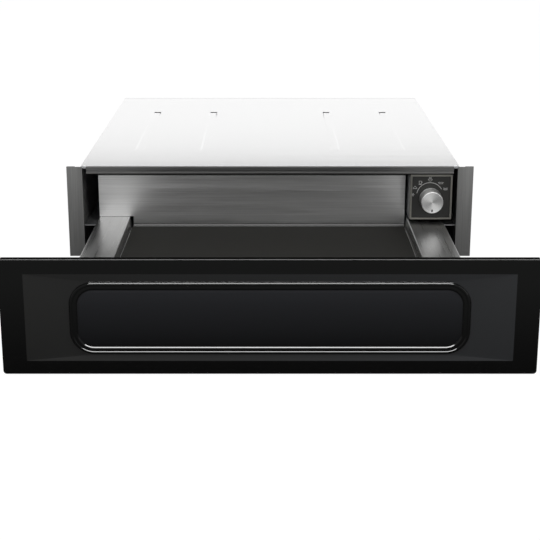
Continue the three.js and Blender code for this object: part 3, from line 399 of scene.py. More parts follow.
# The moulded, coated and pressed finishes by slot: name, scale of the grain and of its clouds, darker and lighter
# colour, roughness, relief and its depth, and further inputs of the shader.
GRAINED = {
    "fascia": (
        "Fascia powder coat", 1400.0, 30.0, (0.009, 0.009, 0.008), (0.019, 0.019, 0.017), (0.38, 0.55), 0.35, 0.0001,
        {}),
    "black_plastic": (
        "Black plastic", 1600.0, 20.0, (0.01, 0.01, 0.01), (0.022, 0.022, 0.023), (0.45, 0.6), 0.3, 0.00008, {}),
    "pale_plastic": (
        "Pale plastic", 1500.0, 18.0, (0.55, 0.53, 0.47), (0.68, 0.66, 0.6), (0.4, 0.55), 0.2, 0.00008, {}),
    "pale_ceramic": (
        "Ceramic", 2200.0, 60.0, (0.62, 0.59, 0.52), (0.74, 0.72, 0.66), (0.3, 0.5), 0.2, 0.00005, {}),
    "fan_aluminium": (
        "Pressed aluminium", 700.0, 25.0, (0.6, 0.61, 0.62), (0.76, 0.77, 0.78), (0.3, 0.42), 0.1, 0.00004,
        {"Metallic": 1.0}),
    "heater_sheath": (
        "Heated sheath", 500.0, 16.0, (0.05, 0.045, 0.045), (0.2, 0.15, 0.1), (0.42, 0.6), 0.2, 0.00006,
        {"Metallic": 0.8}),
    "mat_rubber": (
        "Mat rubber", 800.0, 10.0, (0.008, 0.0078, 0.0066), (0.017, 0.0163, 0.014), (0.66, 0.8), 0.5, 0.0002,
        {"Specular_IOR_Level": 0.18}),
    "liner_steel": (
        "Liner coat", 1300.0, 14.0, (0.07, 0.072, 0.076), (0.1, 0.102, 0.108), (0.42, 0.55), 0.25, 0.00008,
        {"Metallic": 0.3}),
    "seal_rubber": (
        "Seal rubber", 900.0, 30.0, (0.012, 0.012, 0.012), (0.024, 0.024, 0.024), (0.6, 0.75), 0.3, 0.0001, {}),
}


def finish_of(slot, settings):
    """The material of one of the record's slots."""
    steel = settings.steel
    zinc = tuple(steel.galvanised)
    if slot in GRAINED:
        *look, inputs = GRAINED[slot]
        return grained(*look, **inputs)
    if slot == "front_lacquer":
        return enamel(settings.front)
    if slot == "housing_steel":
        tones = (darker(zinc, 0.78), zinc)
        return surface("Galvanised steel", spangle(), {"Scale": 110.0}, tones, (0.34, 0.5), 0.1, Metallic=1.0)
    if slot == "frame_steel":
        return brushed("Brushed frame steel", tuple(steel.frame), (900, 900, 12), contrast=0.7)
    if slot == "control_frame":
        return brushed("Dark control frame", (0.27, 0.266, 0.24, 1), (600, 600, 600), rough=(0.34, 0.46))
    if slot == "drawer_steel":
        # Painted shade: the drawer's steel is a darker copy of the brushed tone that the rear wall takes whole.
        return brushed("Brushed steel along", darker(steel.brushed, 0.64), (900, 9, 900), rough=(0.25, 0.36))
    if slot == "runner_steel":
        values = {"Stretch": (700, 14, 700)}
        tones = ((0.42, 0.43, 0.44, 1), (0.62, 0.63, 0.64, 1))
        return surface("Zinc-plated steel", brushing(), values, tones, (0.2, 0.34), 0.12, 0.00002, Metallic=1.0)
    if slot == "knob_aluminium":
        # The turned aluminium's tone carries painted highlight sectors round the knob's axis.
        values = {"Centre": (KNOB_X * MM, 0, KNOB_Z * MM), "Turns": 5200.0}
        tones = ((0.4, 0.4, 0.4, 1), (1.0, 1.0, 0.99, 1))
        return surface("Turned aluminium", turning(), values, tones, (0.34, 0.46), 1.0, 0.00006, Metallic=1.0)
    raise ValueError(f"no finish is given for the slot {slot}")


# ---- mesh tools


def slot_of(node):
    return next(part["material_slot"] for part in frame["record"]["subparts"] if part["node"] == node)


def body_with(node):
    return frame["nodes"][node]["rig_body"]


def adopt(name, mesh, body, material, stands_for=()):
    """Makes a piece of a mesh in the row frame, with its body and its finish."""
    mesh.materials.clear()
    mesh.materials.append(material)
    made = bpy.data.objects.new(name, mesh)
    bpy.context.scene.collection.objects.link(made)
    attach(made, body)
    if stands_for:
        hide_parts(*stands_for)
    return made


def as_mesh(name, bm, smooth=35):
    """A mesh from bmesh data in millimetres, smooth but for its edges of more than this many degrees."""
    bmesh.ops.recalc_face_normals(bm, faces=bm.faces)
    bmesh.ops.scale(bm, vec=(MM, MM, MM), verts=bm.verts)
    mesh = bpy.data.meshes.new(name)
    bm.to_mesh(mesh)
    bm.free()
    mesh.shade_smooth()
    mesh.set_sharp_from_angle(angle=math.radians(smooth))
    return mesh


def build(name, bm, body, slot, settings, stands_for=(), smooth=35):
    """Makes a piece of bmesh data in millimetres, with the finish of its slot."""
    adopt(name, as_mesh(name, bm, smooth), body, finish_of(slot, settings), stands_for)


def skin(bm, loops, close_ends=True):
    """Faces between a row of closed loops of points, with a face at each end."""
    rings = [[bm.verts.new(point) for point in loop] for loop in loops]
    for one, two in zip(rings, rings[1:]):
        for i in range(len(one)):
            j = (i + 1) % len(one)
            bm.faces.new((one[i], one[j], two[j], two[i]))
    if close_ends:
        bm.faces.new(rings[0])
        bm.faces.new(list(reversed(rings[-1])))
    return rings


def turned(bm, profile, place_at, sides):
    """A turned shape. The profile is [radius, depth]; place_at turns (across, depth, up) into a point."""
    loops = [
        [place_at(r * math.cos(2 * math.pi * i / sides), y, r * math.sin(2 * math.pi * i / sides))
         for i in range(sides)]
        for r, y in profile
    ]
    skin(bm, loops)


def eased(points, steps):
    """A smooth line through these points, with so many steps between each two."""
    result = []
    last = len(points) - 1
    for i in range(last):
        p0, p1, p2, p3 = (points[min(max(k, 0), last)] for k in (i - 1, i, i + 1, i + 2))
        for step in range(steps):
            t = step / steps
            result.append(tuple(
                0.5 * (2 * b + (c - a) * t + (2 * a - 5 * b + 4 * c - d) * t * t
                       + (3 * b - a - 3 * c + d) * t ** 3)
                for a, b, c, d in zip(p0, p1, p2, p3)))
    result.append(tuple(points[last]))
    return result


def keep_flat(piece):
    """Gives a piece normals that leave its large faces flat."""
    weighted = piece.modifiers.new("Flat faces", "WEIGHTED_NORMAL")
    weighted.keep_sharp = True


def refined(node, material, edge):
    """The node's own shape with its cut edges rounded and its folds smooth."""
    bm = bmesh.new()
    bm.from_mesh(frame["nodes"][node].data)
    bmesh.ops.remove_doubles(bm, verts=bm.verts, dist=1e-5)
    bmesh.ops.dissolve_limit(bm, angle_limit=math.radians(0.5), verts=bm.verts, edges=bm.edges)
    sharp = [e for e in bm.edges if len(e.link_faces) == 2 and e.calc_face_angle(0) > math.radians(40)]
    bmesh.ops.bevel(bm, geom=sharp, offset=edge * MM, segments=2, profile=0.5, affect="EDGES", clamp_overlap=True)
    bmesh.ops.scale(bm, vec=(1 / MM,) * 3, verts=bm.verts)
    keep_flat(adopt(f"{node}_sheet", as_mesh(node, bm), body_with(node), material, [node]))


# ---- front


def front_loop(side, top, bottom, corner, depth, steps):
    """One turn of a rounded rectangle set in from the panel's edges, in millimetres."""
    low, high = PANEL
    half = high.x - side
    centres = [
        (half - corner, low.z + bottom + corner), (half - corner, high.z - top - corner),
        (corner - half, high.z - top - corner), (corner - half, low.z + bottom + corner),
    ]
    points = []
    for quarter, (x, z) in enumerate(centres):
        for step in range(steps + 1):
            angle = (quarter - 1 + step / steps) * math.pi / 2
            points.append((x + corner * math.cos(angle), low.y + depth, z + corner * math.sin(angle)))
    return points


# The bead's section from the facets to the field: how far in from its line, and how deep.
BEAD_PROFILE = [
    (-2.2, 2.25), (-1.7, 2.38), (-1.4, 2.1), (-1.2, 1.6), (-1.0, 1.1), (-0.8, 0.8), (-0.55, 0.56), (-0.3, 0.36),
    (0.1, 0.24), (1.3, 0.22), (1.75, 0.3), (2.0, 0.52), (2.27, 0.77), (2.5, 0.9), (3.0, 0.98), (3.6, 0.98),
    (4.4, 0.98), (5.6, 1.02), (6.2, 1.2), (6.5, 1.46), (6.75, 1.7), (7.0, 1.95), (7.3, 2.2), (7.8, 2.34), (8.6, 2.24),
    (9.6, 2.02), (10.8, 1.8),
]
# The same behind it.
BACK_PROFILE = [(-0.9, 3.6), (0.6, 1.7), (1.9, 2.2), (5.0, 2.2), (7.4, 3.5), (11, 3)]
# Where the facets begin, where the border ends and where the sheet's back follows them: how far in from the panel's
# sides, its top and its foot, then the corner radius and the depth.
FACETS_START = (27.7, 17.4, 16.3, 0.9, 0.03)
BORDER_END = (27.0, 16.7, 15.6, 0.7, 0.0)
BORDER_BACK = (27.3, 18, 14, 0.8, 1.2)
# The panel's edge from its rounding to the flange turned in behind it: set-in, corner radius and depth.
FLANGE_PROFILE = [
    (0, 4, 7.6), (0.15, 3.85, 7.85), (0.5, 3.5, 8), (12, 2.8, 8), (12, 2.8, 6.8), (1.2, 2.8, 6.8), (1.2, 2.8, 2.2),
    (2.2, 1.6, 1.2),
]


def front_panel(settings):
    """The pressing: flat border, four facets, raised bead and a slightly crowned field."""
    front = settings.front
    steps = front.corner_steps
    side, top, bottom, corner = 77.9, 28.6, 24.6, 25.4
    field_reach, facets_end, field_start = 12.5, -1.2, 7.2
    edge_round, edge_steps, edge_corner = 1, 6, 4

    def bead(u, depth):
        return front_loop(side + u, top + u, bottom + u, max(corner - u, 1.0), depth, steps)

    loops = []
    zones = []

    def lay(loop, facet=0, field=0):
        loops.append(loop)
        zones.append((facet, field))

    inner, floor = BEAD_PROFILE[-1]
    for share in (1.0, 0.9, 0.75, 0.6, 0.45, 0.3, 0.15):
        lay(bead(inner + share * field_reach, floor - front.crown * (1 - (1 - share) ** 2)), field=1)
    for u, depth in reversed(eased(BEAD_PROFILE, 3)):
        lay(bead(u, depth), min(max(facets_end - u, 0), 1), min(max(u - field_start, 0), 1))
    lay(front_loop(*FACETS_START, steps), facet=1)
    lay(front_loop(*BORDER_END, steps))
    for step in range(edge_steps + 1):
        turn = math.pi / 2 * step / edge_steps
        set_in = edge_round - math.sin(turn)
        lay(front_loop(set_in, set_in, set_in, edge_corner - set_in, edge_round - math.cos(turn), steps))
    for set_in, round_, depth in FLANGE_PROFILE:
        lay(front_loop(set_in, set_in, set_in, round_, depth, steps))
    lay(front_loop(*BORDER_BACK, steps))
    for u, depth in BACK_PROFILE:
        lay(bead(u, depth))
    bm = bmesh.new()
    layer = bm.verts.layers.float_color.new("zone")
    rings = skin(bm, loops)
    for ring, (facet, field) in zip(rings, zones):
        for vertex in ring:
            vertex[layer] = (facet, field, 0, 1)
    low, high = PANEL
    rim, behind = 1, 4
    for face in bm.faces:
        middle = face.calc_center_median()
        if abs(middle.x) > high.x - rim or middle.z > high.z - rim or middle.y > low.y + behind:
            face.material_index = 1
    mesh = as_mesh("front_panel", bm, 22)
    made = adopt("front_enamel", mesh, "drawer", enamel(front), ["front_panel"])
    border = tuple(front.border)[:3]
    mesh.materials.append(grained(
        "Enamel rim", 900.0, 12.0, border, darker(border, 1.6)[:3], (0.45, 0.6), 0.1, 0.00005,
        Specular_IOR_Level=0.01))
    keep_flat(made)
    return made


# ---- knob and dial


def across_y(x, z):
    """Turns (across, depth, up) about an axis along Y into a point."""
    return lambda a, depth, b: (x + a, depth, z + b)


def dial_knob(settings):
    """The turned knob, dished at its face, with its sunk pointer."""
    low, high = KNOB
    front, back = low.y, high.y
    skirt, bore = 0.6, 3.4
    radius = (high.x - low.x) / 2 - skirt
    face = [
        (0.01, 0.92), (0.5, 0.92), (3, 0.88), (6, 0.8), (9, 0.64), (11.5, 0.46), (13.2, 0.28), (13.9, 0.12),
        (14.3, 0.03), (14.7, 0.0), (15.1, 0.05), (15.4, 0.2), (15.6, 0.45), (15.72, 0.9), (15.8, 1.6),
    ]
    profile = [(r, front + depth) for r, depth in face]
    profile += [
        (radius, back - 3.0), (radius + 0.1, back - 2.4), (radius + skirt, back - 1.5), (radius + skirt, back - 0.2),
        (radius + 0.4, back), (bore, back), (bore, back - 9),
    ]
    bm = bmesh.new()
    turned(bm, profile, across_y(KNOB_X, KNOB_Z), 96)
    build("knob_turned", bm, "knob", "knob_aluminium", settings, ["knob"], 28)
    bm = bmesh.new()
    width, start, end = 1.0, 10.2, 14.1
    outline = [(-width, -end + width), (-width * 0.7, -end + 0.3), (0, -end), (width * 0.7, -end + 0.3),
               (width, -end + width), (width, -start - 0.3), (width * 0.7, -start), (-width * 0.7, -start),
               (-width, -start - 0.3)]
    skin(bm, [[(KNOB_X + a, y, KNOB_Z + b) for a, b in outline] for y in (front + 0.1, front + 1.2)])
    build("knob_pointer", bm, "knob", "black_plastic", settings)


def stroke(bm, points, width, y):
    """A printed line through these points [across, up], as a flat ribbon just proud of the fascia."""
    closed = points[0] == points[-1] and len(points) > 2
    flat = [Vector((p[0], p[1])) for p in points]
    sides = []
    for i, here in enumerate(flat):
        before = flat[i - 1] if i else (flat[-2] if closed else here)
        after = flat[i + 1] if i < len(flat) - 1 else (flat[1] if closed else here)
        ahead, behind = (after - here), (here - before)
        ahead = ahead.normalized() if ahead.length > 1e-9 else behind.normalized()
        behind = behind.normalized() if behind.length > 1e-9 else ahead
        along = (ahead + behind).normalized()
        normal = Vector((-along.y, along.x)) * (width / 2 / max(along.dot(ahead), 0.5))
        sides.append([bm.verts.new((q.x, y, q.y)) for q in (here + normal, here - normal)])
    for (a, b), (c, d) in zip(sides, sides[1:]):
        bm.faces.new((a, b, d, c))


def arc(centre, radius, start, end, steps=12, squash=1.0):
    """Points of an arc, with its angles in degrees from the right."""
    angles = [math.radians(start + (end - start) * i / steps) for i in range(steps + 1)]
    return [(centre[0] + radius * math.cos(a), centre[1] + radius * squash * math.sin(a)) for a in angles]


def symbols():
    """Plain pictograms as lists of lines round their own middle, with their clockwise turns from the knob's foot."""
    flake = []
    for turn in range(6):
        c, s = math.cos(turn * math.pi / 3), math.sin(turn * math.pi / 3)
        flake.append([(0, 0), (2.6 * c, 2.6 * s)])
        for side in (-1, 1):
            tip = (1.6 * c, 1.6 * s)
            twig = turn * math.pi / 3 + side * math.pi / 4
            flake.append([tip, (tip[0] + 0.9 * math.cos(twig), tip[1] + 0.9 * math.sin(twig))])
    cover = [arc((0, -1), 2.6, 0, 180), [(-3.2, -1.3), (3.2, -1.3)], arc((0, 2.0), 0.5, 0, 360, 8),
             [(-2.6, -1), (2.6, -1)]]
    cup = [[(-1.7, 2), (-1.5, -1.6), (-0.9, -2.3), (0.9, -2.3), (1.5, -1.6), (1.7, 2), (-1.7, 2)],
           arc((1.7, 0.3), 1.1, 100, -90, 8), [(-2.4, -3), (2.4, -3)]]
    steam = [[(x - 0.3, 1.2), (x + 0.3, 2.0), (x - 0.3, 2.8), (x + 0.3, 3.6)] for x in (-1.4, 0, 1.4)]
    bowl = [arc((0, 0.4), 2.8, 180, 360), [(-3.3, 0.4), (3.3, 0.4)], *steam]
    dish = [[(-3.2, 0.9), (3.2, 0.9)], [(-3.2, 0.9), (-2.4, -1.1), (2.4, -1.1), (3.2, 0.9)],
            [(-3.9, 0.5), (-3.2, 0.9)], [(3.9, 0.5), (3.2, 0.9)]]
    plates = [arc((0, z + 1.6), 3.2, 205, 335, 8, 0.5) for z in (-1.8, -0.6, 0.6)]
    return [(flake, 95), (cover, 120), (cup, 145), (bowl, 180), (dish, 218), (plates, 244)]


def dial_print(settings):
    """The printed arc and its six plain pictograms round the knob."""
    dial = settings.dial
    y = FASCIA[0].y - 0.05
    bm = bmesh.new()
    sweep = [math.radians(-90 - turn) for turn in range(100, 244, 3)]
    ring = [(PRINT_X + dial.arc_radius * math.cos(a), ARC_Z + dial.arc_radius * math.sin(a)) for a in sweep]
    stroke(bm, ring, dial.line * 1.5, y)
    for lines, turn in symbols():
        a = math.radians(-90 - turn)
        middle = (PRINT_X + dial.symbol_radius * math.cos(a), SYMBOLS_Z + dial.symbol_radius * math.sin(a))
        for line in lines:
            stroke(bm, [(middle[0] + p[0], middle[1] + p[1]) for p in line], dial.line, y)
    ink = tuple(dial.ink)
    material = surface(
        "Dial print", grain(), {"Scale": 2500.0, "Cloud": 80.0}, (darker(ink, 0.8), ink), (0.5, 0.65))
    adopt("dial_print", as_mesh("dial_print", bm), "housing", material)


# ---- fixings


def screw(bm, at, facing, radius, height):
    """A low round head with a six-lobed socket, standing on a face."""
    up = Vector(facing).normalized()
    side = up.orthogonal().normalized()
    other = up.cross(side)
    base = Vector(at)
    count = 36

    def ring(size, rise, lobes=0.0):
        points = []
        for i in range(count):
            a = 2 * math.pi * i / count
            r = size * (1 + lobes * math.cos(6 * a))
            points.append(base + side * (r * math.cos(a)) + other * (r * math.sin(a)) + up * rise)
        return points

    skin(bm, [
        ring(radius, -0.3), ring(radius, height * 0.25), ring(radius * 0.93, height * 0.62),
        ring(radius * 0.74, height * 0.9), ring(radius * 0.52, height), ring(radius * 0.5, height, 0.12),
        ring(radius * 0.46, height * 0.9, 0.14), ring(radius * 0.42, height * 0.25, 0.14),
        ring(radius * 0.1, height * 0.12),
    ])


def screws(name, body, places, settings, radius=3.0, height=1.6):
    bm = bmesh.new()
    for at, facing in places:
        screw(bm, at, facing, radius, height)
    build(name, bm, body, "runner_steel", settings)


def fixings(settings):
    """Screws of the cover, the rear panel, the side walls, the runners and the front's brackets."""
    low, high = box_of("top_cover")
    cover = [((side * (high.x - 4.5), y, high.z - 0.9), (0, 0, 1))
             for side in (-1, 1) for y in (low.y + 40, 0, high.y - 40)]
    screws("cover_screws", "housing", cover, settings, 2.6, 0.95)
    low, high = box_of("rear_panel")
    rear = [((side * (high.x - 8), high.y, z), (0, 1, 0)) for side in (-1, 1) for z in (16, 68, 120)]
    rear += [((x, high.y, 126), (0, 1, 0)) for x in (-120, 0, 120)]
    screws("rear_screws", "housing", rear, settings)
    walls = [((side * high.x, y, z), (side, 0, 0)) for side in (-1, 1) for y in (-258, 265) for z in (36, 99)]
    screws("side_screws", "housing", walls, settings)
    low, high = box_of("rail_inner_right")
    runs = [low.y + 22 + i * (high.y - low.y - 60) / 4 for i in range(5)]
    rails = [((side * (low.x + 1.2), y, (low.z + high.z) / 2), (side, 0, 0)) for side in (-1, 1) for y in runs]
    screws("runner_screws", "drawer", rails, settings, 3.4, 1.5)
    low, high = box_of("front_bracket_right")
    plates = [((side * (low.x + 10), low.y + 1.2, z), (0, 1, 0))
              for side in (-1, 1) for z in (low.z + 6, high.z - 6)]
    screws("bracket_screws", "drawer", plates, settings, 2.8, 1.4)


# ---- runners and heating


def ball_cage(node, settings):
    """A bent cage strip with a full row of balls in each of its two edges."""
    low, high = box_of(node)
    side = 1 if low.x > 0 else -1
    inner, outer = (low.x, high.x) if side > 0 else (high.x, low.x)
    ball, bend, sheet = 1.6, 0.9, 0.6
    row_high, row_low = high.z - ball, low.z + ball
    foot = row_low - 0.3
    bm = bmesh.new()
    path = [(inner, foot)]
    path += [(outer - side * (bend - bend * math.sin(a)), foot + bend - bend * math.cos(a)) for a in
             (0, math.pi / 8, math.pi / 4, math.pi * 3 / 8, math.pi / 2)]
    path += [(x, row_low + row_high - z) for x, z in reversed(path)]
    middle = (row_low + row_high) / 2
    inside = [(x - side * sheet if abs(x - outer) < bend else x, z + (sheet if z < middle else -sheet))
              for x, z in path]
    section = path + list(reversed(inside))
    skin(bm, [[(x, y, z) for x, z in section] for y in (low.y, high.y)])
    count, end = 15, 5
    pitch = (high.y - low.y - 2 * end) / (count - 1)
    for i in range(count):
        for z in (row_low, row_high):
            place_at = Matrix.Translation(((inner + outer) / 2, low.y + end + i * pitch, z))
            bmesh.ops.create_uvsphere(bm, u_segments=14, v_segments=8, radius=ball, matrix=place_at)
    build(node.replace("ball_cage", "cage_and_balls"), bm, body_with(node), "runner_steel", settings, [node], 40)


def tube(bm, points, radius):
    """A round rod along a line of points in an upright plane across Y."""
    sides = 14
    loops = []
    for i, here in enumerate(points):
        before, after = points[max(i - 1, 0)], points[min(i + 1, len(points) - 1)]
        along = (Vector(after) - Vector(before)).normalized()
        normal = Vector((-along.z, 0, along.x))
        loops.append([
            Vector(here) + normal * (radius * math.cos(a)) + Vector((0, radius * math.sin(a), 0))
            for a in (2 * math.pi * k / sides for k in range(sides))])
    skin(bm, loops)


def heater(settings):
    """The bent heating rod with its ceramic ends and the two straps that hold it."""
    low, high = box_of("heater_element")
    radius, pitch, tail, tip = 3.25, 22.0, 26.0, high.x - 4
    y = high.y - radius
    bottom = low.z + 6.5
    left, right = low.x + radius, high.x - tail
    points = [(tip, y, bottom)]
    for bend_at in range(3):
        side = -1 if bend_at % 2 == 0 else 1
        centre = (left + pitch / 2 if side < 0 else right - pitch / 2, bottom + bend_at * pitch + pitch / 2)
        for step in range(17):
            swing = math.pi * step / 16
            points.append(
                (centre[0] + side * pitch / 2 * math.sin(swing), y, centre[1] - pitch / 2 * math.cos(swing)))
    points.append((tip, y, bottom + 3 * pitch))
    bm = bmesh.new()
    tube(bm, points, radius)
    width, sheet = 8, 1.2
    for x in (left + 34, right - 42):
        across = x + width
        for z in (low.z, high.z - sheet):
            skin(bm, [[(x, v, z), (across, v, z), (across, v, z + sheet), (x, v, z + sheet)]
                      for v in (low.y, y + 0.8)])
        skin(bm, [[(x, y - 1, z), (across, y - 1, z), (across, y + 1, z), (x, y + 1, z)]
                  for z in (low.z + 0.4, high.z - 0.4)])
    build("heater_rod", bm, "housing", "heater_sheath", settings, ["heater_element"])
    bm = bmesh.new()
    for z in (bottom, bottom + 3 * pitch):
        profile = [(0.01, 0), (3.9, 0), (4.2, 0.4), (4.2, 6), (3.6, 6.6), (0.01, 6.6)]
        turned(bm, profile, lambda a, depth, b, z=z: (high.x - 9 + depth, y + a, z + b), 20)
    build("heater_ends", bm, "housing", "pale_ceramic", settings)


def impeller(settings):
    """The pressed fan wheel with swept blades and a domed hub."""
    low, high = box_of("fan_impeller")
    x, z = (low.x + high.x) / 2, (low.z + high.z) / 2
    front, back, tip, root = low.y, high.y, (high.x - low.x) / 2, 10.0
    bm = bmesh.new()
    turned(bm, [
        (0.01, front), (6, front + 0.3), (8.6, front + 1), (9.6, front + 2.2), (root, front + 4), (root, back - 1.2),
        (tip - 0.6, back - 1.2), (tip, back - 0.6), (tip - 0.6, back), (3, back), (3, back - 8),
    ], across_y(x, z), 72)
    for blade in range(9):
        loops = []
        for step in range(9):
            share = step / 8
            radius = root - 0.6 + (tip - root - 0.4) * share
            angle = blade * 2 * math.pi / 9 + 0.5 * share ** 2
            rise = (back - front - 2) * (1 - 0.18 * share ** 3)
            lift = 0.5 / radius
            loops.append([
                (x + radius * math.cos(angle + turn), y, z + radius * math.sin(angle + turn))
                for turn, y in ((-lift, back - 0.9), (-lift, back - rise), (lift, back - rise), (lift, back - 0.9))])
        skin(bm, loops)
    build("fan_wheel", bm, "fan", "fan_aluminium", settings, ["fan_impeller"])


def gland(settings):
    """The cable gland: a hexagon outside and in, a ribbed dome nut and its soft ring."""
    low, high = box_of("cable_gland")
    x, z = (low.x + high.x) / 2, (low.z + high.z) / 2
    across = (high.x - low.x) / 2
    wall = box_of("rear_panel")[1].y
    count = 72
    bm = bmesh.new()

    def ring(y, radius, six=0.0, ribs=0.0):
        points = []
        for i in range(count):
            a = 2 * math.pi * i / count
            flat = math.cos(math.pi / 6) / math.cos((a % (math.pi / 3)) - math.pi / 6)
            r = radius * (1 + six * (flat - 1)) * (1 + ribs * math.cos(18 * a))
            points.append((x + r * math.cos(a), y, z + r * math.sin(a)))
        return points

    rings = skin(bm, [
        ring(low.y, 4.5), ring(low.y, across - 1.4, 1), ring(low.y + 0.8, across, 1), ring(wall - 2.7, across, 1),
        ring(wall - 1.6, 10), ring(wall + 0.3, 10), ring(wall + 0.35, across, 1), ring(wall + 4.4, across, 1),
        ring(wall + 5.0, across - 1.4, 1), ring(wall + 5.2, across - 1.6, 0, 0.03),
        ring(wall + 10, across - 2.2, 0, 0.03), ring(wall + 12.6, across - 3.2, 0, 0.02),
        ring(wall + 14.6, across - 5), ring(high.y - 0.3, across - 6.6), ring(high.y, across - 7.4),
        ring(high.y - 0.4, 5.2), ring(high.y - 2, 4.5),
    ], close_ends=False)
    for i in range(count):
        j = (i + 1) % count
        bm.faces.new((rings[-1][i], rings[-1][j], rings[0][j], rings[0][i]))
    build("gland_nuts", bm, "housing", "black_plastic", settings, ["cable_gland"])


# ---- studio


# Each lamp's size, its place and what it points at, in metres.
KEY_LAMP = ((2.6, 1.6), (0.2, -1.3, 2.3), (0, -0.3, 0))
SIDE_LAMP = ((0.8, 1.2), (1.9, -1.0, 0.9), (0, -0.5, 0.05))
STRIP_LAMP = ((1.5, 0.5), (0.05, -1.35, 1.25), (0, -0.69, 0.1))
CARD_CORNERS = [(-0.75, 1.0, 0.48), (0.75, 1.0, 0.48), (0.75, 1.15, 1.5), (-0.75, 1.15, 1.5)]
CARD_TONE = 0.05
FLOOR_CORNERS = [(-30, -30, 0), (30, -30, 0), (30, 30, 0), (-30, 30, 0)]
# The floor lies this far below the object's foot, so that the two don't coincide.
FLOOR_DROP = 0.0002
FLOOR_TONE = 0.8
FLOOR_GLOW = 1.09
# A painted shadow darkens the floor in front of the object, in reflections only, for this far.
NEAR_REACH = 0.3


def rays(tree):
    """Marks the camera's rays, and all the rays that look at a thing: those, mirrored ones and ones let through."""
    light = wire(tree, "LightPath").outputs
    looking = maths(tree, "ADD", light["Is Camera Ray"], light["Is Glossy Ray"])
    return light["Is Camera Ray"], maths(tree, "ADD", looking, light["Is Transmission Ray"], clamp=True)


def floor_material(studio):
    """White to the camera but for the object's soft shadow. Reflections show it mostly as the lamps light it, with a
    painted shadow in front of the object.
    """
    material, tree = new_material("Studio floor")
    tree.nodes.clear()
    camera, looking = rays(tree)
    front = PANEL[0].y * MM
    # Painted shadow on the floor in front of the object, which the camera's rays don't see.
    near = spread(tree, object_axes(tree)["Y"], start=front, end=front - NEAR_REACH)
    near = maths(tree, "MAXIMUM", near, camera)
    tone = blend_colours(tree, near, shade(studio.floor_painted_shadow), shade(FLOOR_TONE))
    lit = wire(tree, "BsdfDiffuse", {"Color": tone})
    glow = wire(tree, "Emission", {"Color": shade(1.0), "Strength": FLOOR_GLOW})
    share = maths(tree, "MULTIPLY", looking, spread(tree, camera, studio.floor_mirrored, 1 - studio.floor_shadow))
    mixed = wire(tree, "MixShader", {0: share, 1: lit.outputs[0], 2: glow.outputs[0]})
    wire(tree, "OutputMaterial", {"Surface": mixed.outputs[0]})
    return material


def card_material():
    material, tree = new_material("Dark card")
    tree.nodes.clear()
    plain = wire(tree, "BsdfDiffuse", {"Color": shade(CARD_TONE)})
    wire(tree, "OutputMaterial", {"Surface": plain.outputs[0]})
    return material


def world_light(studio):
    """White behind the object and in reflections, and a plain ambient light."""
    world = bpy.data.worlds.new("Studio")
    world.use_nodes = True
    tree = world.node_tree
    tree.nodes.clear()
    strength = spread(tree, rays(tree)[1], studio.ambient, 1.0)
    glow = wire(tree, "Background", {"Color": shade(1.0), "Strength": strength})
    wire(tree, "OutputWorld", {"Surface": glow.outputs[0]})
    bpy.context.scene.world = world


def lamp(name, radiance, setting, only=None):
    """A soft rectangular lamp that the camera doesn't see. With only, it acts in that piece's reflections alone."""
    size, location, target = setting
    data = bpy.data.lights.new(name, "AREA")
    data.shape = "RECTANGLE"
    data.size, data.size_y = size
    data.energy = radiance * math.pi * size[0] * size[1]
    made = bpy.data.objects.new(name, data)
    made.location = location
    made.rotation_euler = (Vector(target) - Vector(location)).to_track_quat("-Z", "Y").to_euler()
    made.visible_camera = False
    bpy.context.scene.collection.objects.link(made)
    if only:
        lit = bpy.data.collections.new(f"Lit by {name}")
        lit.objects.link(only)
        made.light_linking.receiver_collection = lit
        made.visible_diffuse = False


def stage_sheet(name, corners, material):
    """A flat piece of the studio."""
    mesh = bpy.data.meshes.new(name)
    mesh.from_pydata(corners, [], [(0, 1, 2, 3)])
    mesh.materials.append(material)
    sheet = bpy.data.objects.new(name, mesh)
    bpy.context.scene.collection.objects.link(sheet)
    return sheet


def make_studio(settings):
    """The camera, the light all around, the floor, the lamps and a dark card behind the object. Only reflections show
    the card, as a photographer sets one to give steel its depth."""
    studio = settings.studio
    scene = bpy.context.scene
    camera = bpy.data.objects.new("Camera", bpy.data.cameras.new("Camera"))
    camera.location = (0, -studio.camera_distance, studio.camera_height)
    camera.rotation_euler = (math.pi / 2 - studio.camera_pitch, 0, 0)
    camera.data.lens = studio.camera_lens
    camera.data.sensor_width = 36
    camera.data.shift_y = studio.camera_shift
    scene.collection.objects.link(camera)
    scene.camera = camera
    scene.view_settings.view_transform = "Standard"
    world_light(studio)
    stage_sheet("floor", FLOOR_CORNERS, floor_material(studio)).location.z = -FLOOR_DROP
    card = stage_sheet("dark_card", CARD_CORNERS, card_material())
    card.visible_camera = card.visible_diffuse = card.visible_shadow = False
    lamp("Key lamp", studio.key, KEY_LAMP)
    lamp("Side lamp", studio.side, SIDE_LAMP)


# ---- operators


class Step:
    """What the operators share: each runs with the scene's settings."""

    def execute(self, context):
        self.run(context.scene.warming_drawer)
        return {"FINISHED"}


class DRAWER_OT_studio(Step, bpy.types.Operator):
    """Sets up the camera, the floor, the ambient light and the lamps"""

    bl_idname = "drawer.studio"
    bl_label = "Studio"

    def run(self, settings):
        make_studio(settings)


class DRAWER_OT_finishes(Step, bpy.types.Operator):
    """Gives each carried-over node the finish of its slot"""

    bl_idname = "drawer.finishes"
    bl_label = "Finishes"

    def run(self, settings):
        for name, node in frame["nodes"].items():
            node.data.materials.clear()
            node.data.materials.append(finish_of(slot_of(name), settings))


class DRAWER_OT_front(Step, bpy.types.Operator):
    """Builds the enamelled front with its facets, bead and field"""

    bl_idname = "drawer.front"
    bl_label = "Front"

    def run(self, settings):
        lamp("Strip lamp", settings.studio.strip, STRIP_LAMP, front_panel(settings))


